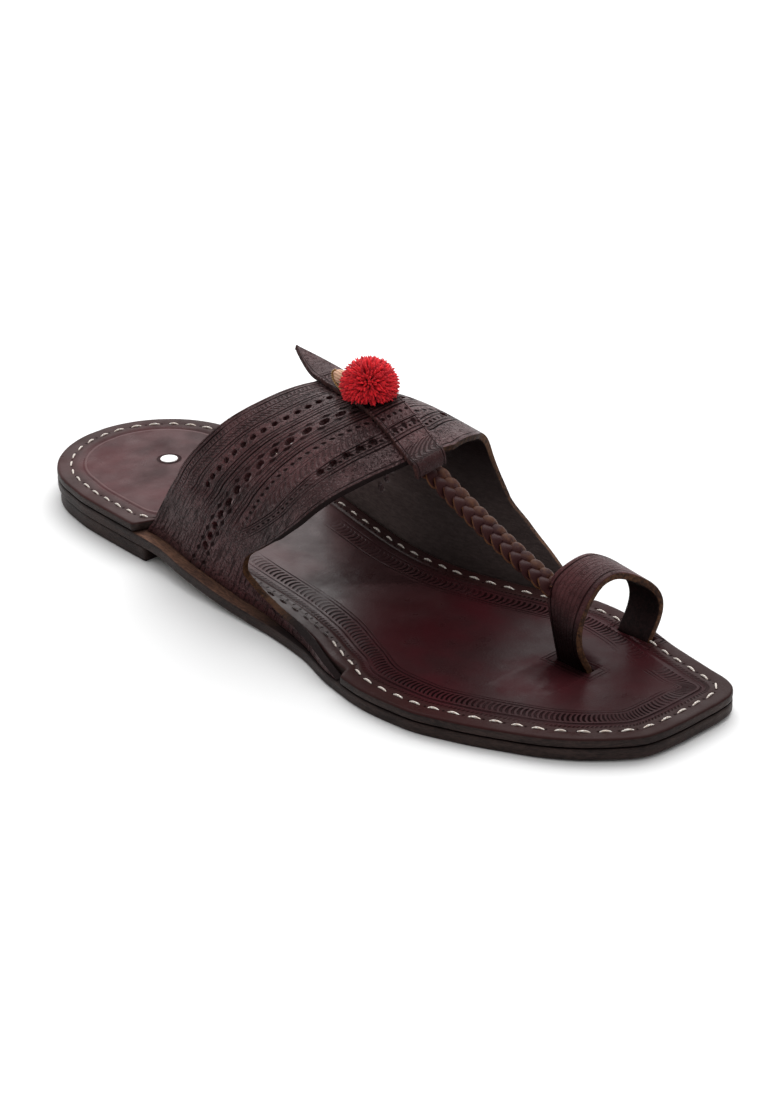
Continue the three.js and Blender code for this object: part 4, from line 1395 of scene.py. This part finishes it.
def crest_height(x, y):
    """Height of the strap's outer face over spots near the crest."""
    x, y = np.broadcast_arrays(np.asarray(x, float), np.asarray(y, float))
    ridge = BALL_WIDTH * last_column["ridge"](y / SOLE_LENGTH)
    result = np.zeros(x.shape)
    for side in SIGN:
        here = (x < ridge) == (side == "medial")
        if here.any():
            low, high = np.zeros(here.sum()), np.ones(here.sum())
            for _ in range(HALVINGS):
                middle = (low + high) / 2
                reach = np.abs(section_point(side, y[here], 1 - middle)[:, 0] - ridge[here])
                short = reach < np.abs(x[here] - ridge[here])
                low, high = np.where(short, middle, low), np.where(short, high, middle)
            result[here] = section_point(side, y[here], 1 - low)[:, 2]
    return result


def strip_points(u, v):
    """The strip's face: u across it, v from the ear's tip to the tab's end."""
    wide = u - 0.5
    lift = CURVED_GAP + OVERLAY_WALL
    ear, tab = v < EAR_SHARE, v >= TAB_SHARE
    width = OVERLAY_WIDTH + (OVERLAY_END_WIDTH - OVERLAY_WIDTH) * (v - EAR_SHARE) / (1 - EAR_SHARE)
    y = crest_rear + (crest_front - crest_rear) * np.clip((v - EAR_SHARE) / (TAB_SHARE - EAR_SHARE), 0, 1)
    x = strip_centre(y) + width * wide
    spots = np.column_stack([x, y, crest_height(x, y) + lift])
    t = np.clip((v - TAB_SHARE) / (1 - TAB_SHARE), 0, 1)
    roll = TAB_DROP * ROLL_SHARE
    angle = t * math.pi / 2
    ahead = crest_front + (roll + lift) * np.sin(angle)
    down = lift + roll - (roll + lift) * np.cos(angle) + (TAB_DROP - roll) * t ** 3
    spots[tab, 1] = ahead[tab]
    spots[tab, 2] -= down[tab]
    t = np.clip(1 - v / EAR_SHARE, 0, 1)
    width = OVERLAY_WIDTH * np.maximum(1 - t ** 1.25, EAR_TIP)
    root = crest_height(strip_centre(crest_rear) + OVERLAY_WIDTH * wide * (1 - t), crest_rear)
    spots[ear] = np.column_stack([strip_centre(crest_rear) + width * wide, crest_rear - EAR_LENGTH * t,
                                  root + lift + EAR_RISE * t ** 1.5])[ear]
    return spots


# %% [markdown]
# The strap's rows go on over the strip, with pressed dots in place of the
# punched holes. So it carries the same UV maps as the strap, measured from the
# strap's own edges, and the strap's marks are used again on it. Only its border
# and the curls on its tab are new.

# %% Centre strip
STRIP_BORDER = [(6.5, 0.3, 0.8)]
STRIP_REAR_DOTS = [
    {"distance": ROUND_INSET, "pitch": 4.4, "radius": 1.3},
    {"distance": LEAF_INSET, "pitch": LEAF_PITCH, "radius": 1.7},
]
STRIP_FRONT_DOTS = {"distance": FRONT_INSET, "pitch": 4.6, "radius": 1.5}
CURL_BAND = {"start": -5.0, "end": 5.0, "pitch": 2.6, "slant": 0.3, "curl": 0.3}
STRIP_LEAF = 20
crest_width = float(strap_width(np.array([0.5]))[0])


def strip_marks(tree):
    """The strap's rows go on over the strip, with dots in place of its holes."""
    girth, rear = uv_parts(tree, "rear")
    front = uv_parts(tree, "front")[1]
    border = groove_lines(tree, calc(tree, "ABSOLUTE", uv_parts(tree, "strip")[0]), STRIP_BORDER)
    holes = [dot_row(tree, girth, rear, **dots) for dots in STRIP_REAR_DOTS]
    curls = comb_row(tree, girth, front, **CURL_BAND)
    return strongest(tree, border, strap_marks(tree), *holes,
                     dot_row(tree, girth, front, **STRIP_FRONT_DOTS), times(tree, curls, 0.6))


def strip_speckle_and_shade(tree, coords, base):
    """Painted highlight speckle and painted shade as on the strap, and blacker at the rolled tab."""
    tab = times(tree, within(tree, uv_parts(tree, "front")[1], 7.0, -1.0), 0.6)
    return blend(tree, tab, strap_speckle_and_shade(tree, coords, base), BLACKING_AND_SHADE)


def strip_side(u):
    """Distance from the strip's middle line, in metres."""
    return (u - 0.5) * OVERLAY_WIDTH * MM


def strip_rear(v):
    """Distance on the strip from the strap's rear edge, in metres."""
    return (v - EAR_SHARE) / (TAB_SHARE - EAR_SHARE) * crest_width


strip_finish = dyed_leather("centre strip leather", STRAP_DYES, strip_marks, strip_speckle_and_shade,
                            depth=0.5, roughness=0.44, shine=0.09, red_share=0.25)
strip_edge_finish = raw_leather("strip edge", colour(0.018, 0.0065, 0.0065), colour(0.075, 0.030, 0.026))
strip_maps = {
    "strip": lambda u, v: np.column_stack([strip_side(u), v * STRIP_LENGTH * MM]),
    "rear": lambda u, v: np.column_stack([strip_side(u), strip_rear(v)]),
    "front": lambda u, v: np.column_stack([strip_side(u), crest_width - strip_rear(v)]),
    "leaf row": lambda u, v: np.column_stack([STRIP_LEAF + (u - 0.5) * OVERLAY_WIDTH / LEAF_PITCH, v]),
}
strip = lay_grid("centre_strip_leather", 16, 90, strip_points, strip_maps,
                 [strip_finish, strip_edge_finish, flesh_finish])
give_wall(strip, OVERLAY_WALL, 0.35)
print("centre strip faces:", settle(strip))
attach(strip, "root")
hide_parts("centre_strip")

# %% [markdown]
# A pompom is hundreds of yarn ends tied at the middle and trimmed to a ball.
# It opens like a flower from the side that faces up and forward, so the ends
# lie over each other away from there. Hair wouldn't export, so each end is a
# mesh: one short strand is modelled with few faces, then laid along a curve for
# each end, each a little different. Its base is flat where it sits on the strip.

# %% Yarn of the pompom
POMPOM_DIAMETER = 18.9
POMPOM_ALONG = 0.519
POMPOM_ASIDE = 0.02
POMPOM_LIFT = 3.5
STRAND_COUNT = 1300
STRAND_WIDTH = 0.74
STRAND_LEVELS = {0.3: 1.0, 0.5: 1.0, 0.68: 1.0, 0.82: 1.0, 0.93: 0.85}
PARTING = Vector((0.60, 0.57, 0.56)).normalized()
SPREAD = 0.08
TWIST = 0.35
ROOT_LEAN = 0.85
ROOT_REACH = 0.3
BEND_LEAN = 0.52
BEND_REACH = 0.86
YARN_DARK = colour(0.36, 0.002, 0.010)
YARN_RED = colour(0.90, 0.018, 0.028)
# painted shade deep in the ball
YARN_PAINTED_SHADE = colour(0.05, 0.0, 0.002)
pompom_y = SOLE_LENGTH * POMPOM_ALONG


def strip_top(y):
    """Height of the strip's upper face at its middle line."""
    return float(crest_height(strip_centre(y), y)) + CURVED_GAP + OVERLAY_WALL


pompom_centre = Vector((strip_centre(pompom_y) + POMPOM_ASIDE * BALL_WIDTH, pompom_y,
                        strip_top(pompom_y) + POMPOM_LIFT))
seat_depth = POMPOM_LIFT - 0.5


def make_yarn():
    """Matt red yarn with painted shade toward the ball's middle; each strand has its own tone."""
    material, tree, shader = new_finish("red yarn", roughness=0.8, sheen_weight=0.15, sheen_roughness=0.5,
                                        specular_ior_level=0.25)
    shader.inputs["Sheen Tint"].default_value = colour(1.0, 0.3, 0.3)
    shade, along = uv_parts(tree, "yarn")
    base = blend(tree, calc(tree, "DIVIDE", shade, 1 / MM), YARN_DARK, YARN_RED)
    # painted shade: the yarn darkens toward the ball's middle
    base = blend(tree, within(tree, along, 560.0, 980.0), YARN_PAINTED_SHADE, base)
    tree.links.new(base, shader.inputs["Base Color"])
    add_bump(tree, shader, cloud(tree, object_coords(tree), 2600.0, 3.0, 0.7), 0.2)
    return material


def make_strand():
    """A plain strand along Z, from 0 to 1, with rings where it bends."""
    one = bmesh.new()
    bmesh.ops.create_cone(one, cap_ends=True, segments=5, radius1=STRAND_WIDTH * 0.35,
                          radius2=STRAND_WIDTH * 0.22, depth=1.0)
    bmesh.ops.translate(one, verts=one.verts[:], vec=(0, 0, 0.5))
    for level, width in STRAND_LEVELS.items():
        bmesh.ops.bisect_plane(one, geom=one.verts[:] + one.edges[:] + one.faces[:],
                               plane_co=(0, 0, level), plane_no=(0, 0, 1))
        for vert in one.verts:
            if abs(vert.co.z - level) < 1e-5:
                round_out = STRAND_WIDTH / 2 * width / math.hypot(vert.co.x, vert.co.y)
                vert.co.x *= round_out
                vert.co.y *= round_out
    mesh = bpy.data.meshes.new("one strand")
    one.to_mesh(mesh)
    one.free()
    return mesh


# %% Pompom
def make_pompom():
    """Strands spread evenly over a ball, bent away from the parting, cut flat below."""
    chance = random.Random(5)
    golden = math.pi * (3 - math.sqrt(5))
    strand = make_strand()
    bm = bmesh.new()
    uv = bm.loops.layers.uv.new("yarn")
    for k in range(STRAND_COUNT):
        height = 1 - 2 * (k + 0.5) / STRAND_COUNT
        ring = math.sqrt(1 - height ** 2)
        way = Vector((ring * math.cos(k * golden), ring * math.sin(k * golden), height))
        way = (way + Vector([chance.uniform(-SPREAD, SPREAD) for _ in range(3)])).normalized()
        length = POMPOM_DIAMETER / 2 * chance.uniform(0.92, 1.02)
        if way.z < 0:
            length = min(length, seat_depth / -way.z)
        turn = Matrix.Rotation(chance.uniform(-TWIST, TWIST), 3, way)
        lean = turn @ PARTING
        root = way.lerp(lean, ROOT_LEAN) * (ROOT_REACH * length)
        bend = way.lerp(lean, BEND_LEAN).normalized() * (BEND_REACH * length)
        tip = way * length
        across = way.cross(lean)
        across = across.normalized() if across.length > 1e-3 else way.orthogonal().normalized()
        shade = chance.random()
        before, first_face = len(bm.verts), len(bm.faces)
        bm.from_mesh(strand)
        bm.verts.ensure_lookup_table()
        bm.faces.ensure_lookup_table()
        for vert in bm.verts[before:]:
            t = vert.co.z
            run = ((1 - t) * (bend - root) + t * (tip - bend)).normalized()
            thick = across.cross(run)
            centre = (1 - t) ** 2 * root + 2 * t * (1 - t) * bend + t * t * tip
            vert.co = pompom_centre + centre + across * vert.co.x + thick * vert.co.y
            vert.co.z = max(vert.co.z, pompom_centre.z - seat_depth)
        for face in bm.faces[first_face:]:
            for corner in face.loops:
                reach = (corner.vert.co - pompom_centre).length / (POMPOM_DIAMETER / 2)
                corner[uv].uv = (shade, min(reach, 1.1))
    bpy.data.meshes.remove(strand)
    return finish_mesh(bm, "pompom_yarn", [make_yarn()])


pompom = make_pompom()
print("pompom faces:", len(pompom.data.polygons))
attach(pompom, "root")
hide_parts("pompom")

# %% [markdown]
# The pompom's neck is bound with pale thread, wound side by side over a small
# barrel. The winding is one long tube that follows a helix.

# %% Wound neck
BEAD_DIAMETER = 5.0
BEAD_LENGTH = 5.5
BEAD_ALONG = 0.47
BEAD_ASIDE = 0.052
BEAD_LIFT = 0.35
THREAD = 0.62
WINDINGS = 9
bead_y = SOLE_LENGTH * BEAD_ALONG
bead_centre = np.array([strip_centre(bead_y) + BALL_WIDTH * BEAD_ASIDE, bead_y,
                        strip_top(bead_y) + BEAD_LIFT + BEAD_DIAMETER / 2])


def barrel_radius(t):
    """The neck is thickest at its middle, t = 0."""
    return BEAD_DIAMETER / 2 * np.sqrt(1 - 0.45 * t * t)


def winding_place(u, v):
    """The thread's surface: u once round the thread, v along the helix."""
    t = 2 * v - 1
    angle = 2 * math.pi * WINDINGS * v
    ring = 2 * math.pi * u
    radius = barrel_radius(t * 0.95) - THREAD / 2 + THREAD / 2 * np.cos(ring)
    along = t * (BEAD_LENGTH - THREAD) / 2 + THREAD / 2 * np.sin(ring)
    return bead_centre + np.column_stack([radius * np.cos(angle), along, radius * np.sin(angle)])


def twisted_thread(name, low, high, pitch):
    """Thread of two plies: slanted stripes that come from the piece's own UV map."""
    material, tree, shader = new_finish(name, roughness=0.65, sheen_weight=0.3)
    along, around = uv_parts(tree, "strip")
    slanted = plus(tree, along, times(tree, around, pitch * MM))
    ply = within(tree, calc(tree, "PINGPONG", slanted, pitch / 2), 0.0, pitch / 2)
    tree.links.new(blend(tree, ply, low, high), shader.inputs["Base Color"])
    add_bump(tree, shader, ply, 0.12)
    return material


thread_finish = twisted_thread("pale thread", colour(0.50, 0.25, 0.14), colour(0.86, 0.56, 0.38), 0.9)
winding = lay_grid("neck_winding", 8, 260, winding_place, tube_map(0.13), [thread_finish], closed=True)
print("neck winding faces:", len(winding.data.polygons))
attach(winding, "root")
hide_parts("neck_bead")


def core_place(u, v):
    """The yarn's neck inside the winding, a little thinner and shorter."""
    t = 2 * v - 1
    angle = 2 * math.pi * u
    radius = np.maximum(barrel_radius(t) - THREAD * 0.6, 0.2)
    along = t * BEAD_LENGTH * 0.46
    return bead_centre + np.column_stack([radius * np.cos(angle), along, radius * np.sin(angle)])


core = lay_grid("neck_core", 16, 8, core_place, tube_map(0.01), [thread_finish], closed=True)
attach(core, "root")
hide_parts("neck_bead")

# %% [markdown]
# A golden thread ties the neck to the strip. Only its loose end shows: it comes
# from the neck's far side, goes round it and down beside the strip. It is a
# tube on one smooth curve, steered by a few points measured from the neck.

# %% Golden tie
TIE_THREAD = 0.75
TIE_POINTS = np.array([[1.6, -0.6, 3.0], [2.6, -2.6, 2.6], [2.4, -2.4, -0.4], [2.6, 0.2, -2.6],
                       [2.9, 4.0, -3.4], [1.2, 8.0, -3.2]])


def tie_path(t):
    """A smooth curve steered by the points, as Bernstein polynomials give it."""
    degree = len(TIE_POINTS) - 1
    weights = [math.comb(degree, k) * t ** k * (1 - t) ** (degree - k) for k in range(degree + 1)]
    return bead_centre + np.column_stack(weights) @ TIE_POINTS


def tie_place(u, v):
    run = unit(tie_path(v + PATH_STEP) - tie_path(v - PATH_STEP))
    side = unit(np.cross(run, [0.3, 0.2, 1.0]))
    ring = 2 * math.pi * u
    return (tie_path(v) + side * (TIE_THREAD / 2 * np.cos(ring))[:, None]
            + np.cross(side, run) * (TIE_THREAD / 2 * np.sin(ring))[:, None])


tie_finish = twisted_thread("golden thread", colour(0.16, 0.075, 0.018), colour(0.42, 0.24, 0.07), 1.2)
tie = lay_grid("neck_tie", 8, 60, tie_place, tube_map(0.02), [tie_finish], closed=True)
print(f"golden tie: {lengths_along(tie_path(np.linspace(0, 1, 200)))[-1]:.1f} mm")
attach(tie, "root")

# %% [markdown]
# Hand stitches of waxed thread run round the insole in their channel. Each is
# a small bowed capsule that dips into its two holes, with a little chance in
# its length, place and turn, because a hand sewed it. They all share one mesh.
# Beside the outer waist the stitches are near black, so they get a second finish.

# %% Stitches
STITCH_PITCH = 6.6
STITCH_EASE = 14.0
STITCH_LENGTH = 4.5
STITCH_WIDTH = 0.68
STITCH_HEIGHT = 0.7
STITCH_RISE = 0.12
STITCH_DIP = 0.55
DARK_STITCHES = (116.0, 168.0)


def make_stitches():
    chance = random.Random(11)
    ring = ring_at(points, perimeter, STITCH_INSET, ease_cut(points, perimeter, STITCH_EASE, cut_back),
                   PANEL_REACH)
    closed = np.vstack([ring, ring[:1]])
    length = lengths_along(closed)
    count = int(round(length[-1] / STITCH_PITCH))
    bm = bmesh.new()
    uv = bm.loops.layers.uv.new("strip")
    for k in range(count):
        at = (k + 0.5) * length[-1] / count + chance.uniform(-0.25, 0.25)
        x, y = [np.interp(at, length, closed[:, i]) for i in (0, 1)]
        x2, y2 = [np.interp((at + 1) % length[-1], length, closed[:, i]) for i in (0, 1)]
        heading = math.atan2(y2 - y, x2 - x) + chance.uniform(-0.1, 0.1)
        made = bmesh.ops.create_uvsphere(bm, u_segments=12, v_segments=8, radius=0.5)["verts"]
        size = STITCH_LENGTH * chance.uniform(0.9, 1.05)
        top = float(insole_top(y))
        # stitches beside the outer waist get the near-black thread
        dark_stitch = x > heel_centre and DARK_STITCHES[0] < y < DARK_STITCHES[1]
        for vert in made:
            along, wide, up = vert.co.z * size, vert.co.x * STITCH_WIDTH, vert.co.y * STITCH_HEIGHT
            dip = STITCH_DIP * (along / (size / 2)) ** 2
            vert.co = Vector((x + along * math.cos(heading) - wide * math.sin(heading),
                              y + along * math.sin(heading) + wide * math.cos(heading),
                              top + STITCH_RISE + up - dip))
        for vert in made:
            for corner in vert.link_loops:
                spot = vert.co
                corner[uv].uv = ((spot.x + spot.y) * MM, spot.z)
                corner.face.material_index = int(dark_stitch)
    waxed = twisted_thread("waxed thread", colour(0.62, 0.50, 0.42), colour(0.95, 0.90, 0.84), 0.8)
    darkened = twisted_thread("stained thread", colour(0.020, 0.010, 0.010),
                             colour(0.085, 0.050, 0.045), 0.8)
    return count, finish_mesh(bm, "insole_stitches", [waxed, darkened])


stitch_count, stitches = make_stitches()
print("stitches:", stitch_count)
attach(stitches, "root")

# %% [markdown]
# A small round white dot marks the heel seat. It is a low cylinder with a
# bevelled rim, sunk a hair into the leather, and the insole's finish presses a
# dark ring round it.

# %% Heel dot
DOT_HEIGHT = 0.35
DOT_SUNK = 0.05


def make_dot():
    """A low cylinder whose upper rim is rounded."""
    bm = bmesh.new()
    bmesh.ops.create_cone(bm, cap_ends=True, segments=40, radius1=DOT_RADIUS, radius2=DOT_RADIUS,
                          depth=DOT_HEIGHT)
    rim = [edge for edge in bm.edges if abs(edge.verts[0].co.z - edge.verts[1].co.z) < 1e-6
           and edge.verts[0].co.z > 0]
    bmesh.ops.bevel(bm, geom=rim, offset=0.14, affect="EDGES", segments=3, profile=0.5, material=-1)
    bmesh.ops.translate(bm, verts=bm.verts[:],
                        vec=(*DOT_PLACE, float(insole_top(DOT_PLACE[1])) + DOT_HEIGHT / 2 - DOT_SUNK))
    material, tree, shader = new_finish("white dot", roughness=0.5)
    speck = cloud(tree, object_coords(tree), 900.0)
    tree.links.new(blend(tree, speck, colour(0.82, 0.81, 0.79), colour(0.92, 0.92, 0.91)),
                   shader.inputs["Base Color"])
    return finish_mesh(bm, "heel_dot", [material], smooth=False)


dot = make_dot()
print("heel dot faces:", len(dot.data.polygons))
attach(dot, "root")

# %% [markdown]
# The studio is plain: a white floor, and a large soft window from the far inner
# side, so that the tooling casts its small shadows toward the camera. A weak
# fill in front opens the dark edges. The sky is bright behind the sandal and
# dim behind the camera, which keeps dark leather dark where it faces us.

# %% Floor and lamps
def make_floor():
    """A plain white sheet, far larger than the sandal."""
    bm = bmesh.new()
    bmesh.ops.create_grid(bm, x_segments=1, y_segments=1, size=3.0)
    mesh = bpy.data.meshes.new("floor")
    bm.to_mesh(mesh)
    bm.free()
    floor = bpy.data.objects.new("floor", mesh)
    bpy.context.collection.objects.link(floor)
    material, tree, shader = new_finish("white floor", roughness=0.8)
    shader.inputs["Base Color"].default_value = colour(0.9, 0.9, 0.9)
    shader.inputs["Specular IOR Level"].default_value = 0.0
    mesh.materials.append(material)
    return floor


make_floor()


def add_lamp(name, place, size, power):
    """A round soft lamp that points at the sandal."""
    lamp = bpy.data.lights.new(name, "AREA")
    lamp.shape = "DISK"
    lamp.size = size
    lamp.energy = power
    holder = bpy.data.objects.new(name, lamp)
    holder.location = place
    holder.rotation_euler = (-Vector(place)).to_track_quat("-Z", "Y").to_euler()
    bpy.context.collection.objects.link(holder)


add_lamp("window", (-1.0, -0.7, 1.5), size=2.6, power=42)
add_lamp("front fill", (0.9, 1.1, 1.5), size=1.4, power=5)
print("lamps:", len(bpy.data.lights))

# %% Sky
BRIGHT_WAY = (-0.5, -0.5, 0.707)
DIM_SKY = 0.2
BRIGHT_SKY = 0.98
bpy.context.scene.view_settings.view_transform = "Standard"
world = bpy.data.worlds.new("soft sky")
bpy.context.scene.world = world
world.use_nodes = True
sky = world.node_tree
toward = add(sky, "VectorMath", add(sky, "TexCoord").outputs["Generated"], BRIGHT_WAY,
             operation="DOT_PRODUCT").outputs["Value"]
background = sky.nodes["Background"]
sky.links.new(within(sky, toward, -0.3, 0.9, DIM_SKY, BRIGHT_SKY), background.inputs["Strength"])
background.inputs["Color"].default_value = colour(1.0, 1.0, 1.0)

# %% [markdown]
# The camera stands where the photograph was taken from. It is only turned
# toward the middle of the sandal and zoomed in, which keeps the perspective of
# the photograph.

# %% Camera
CAMERA_PLACE = Vector((0.55925, 0.61488, 0.42825))
PHOTO_WAY = Vector((-0.64946, -0.63197, -0.42286))
SANDAL_WAY = Vector((-0.61440, -0.65163, -0.44484))
PHOTO_LENS = 68.215
CLOSER = 1.38
camera_data = bpy.data.cameras.new("camera")
camera_data.sensor_width = 36
camera_data.lens = PHOTO_LENS * CLOSER
camera = bpy.data.objects.new("camera", camera_data)
camera.location = CAMERA_PLACE
turn_to_sandal = PHOTO_WAY.rotation_difference(SANDAL_WAY)
camera.rotation_euler = (turn_to_sandal @ PHOTO_WAY.to_track_quat("-Z", "Y")).to_euler()
bpy.context.collection.objects.link(camera)
bpy.context.scene.camera = camera
print(f"lens: {camera_data.lens:.1f} mm")
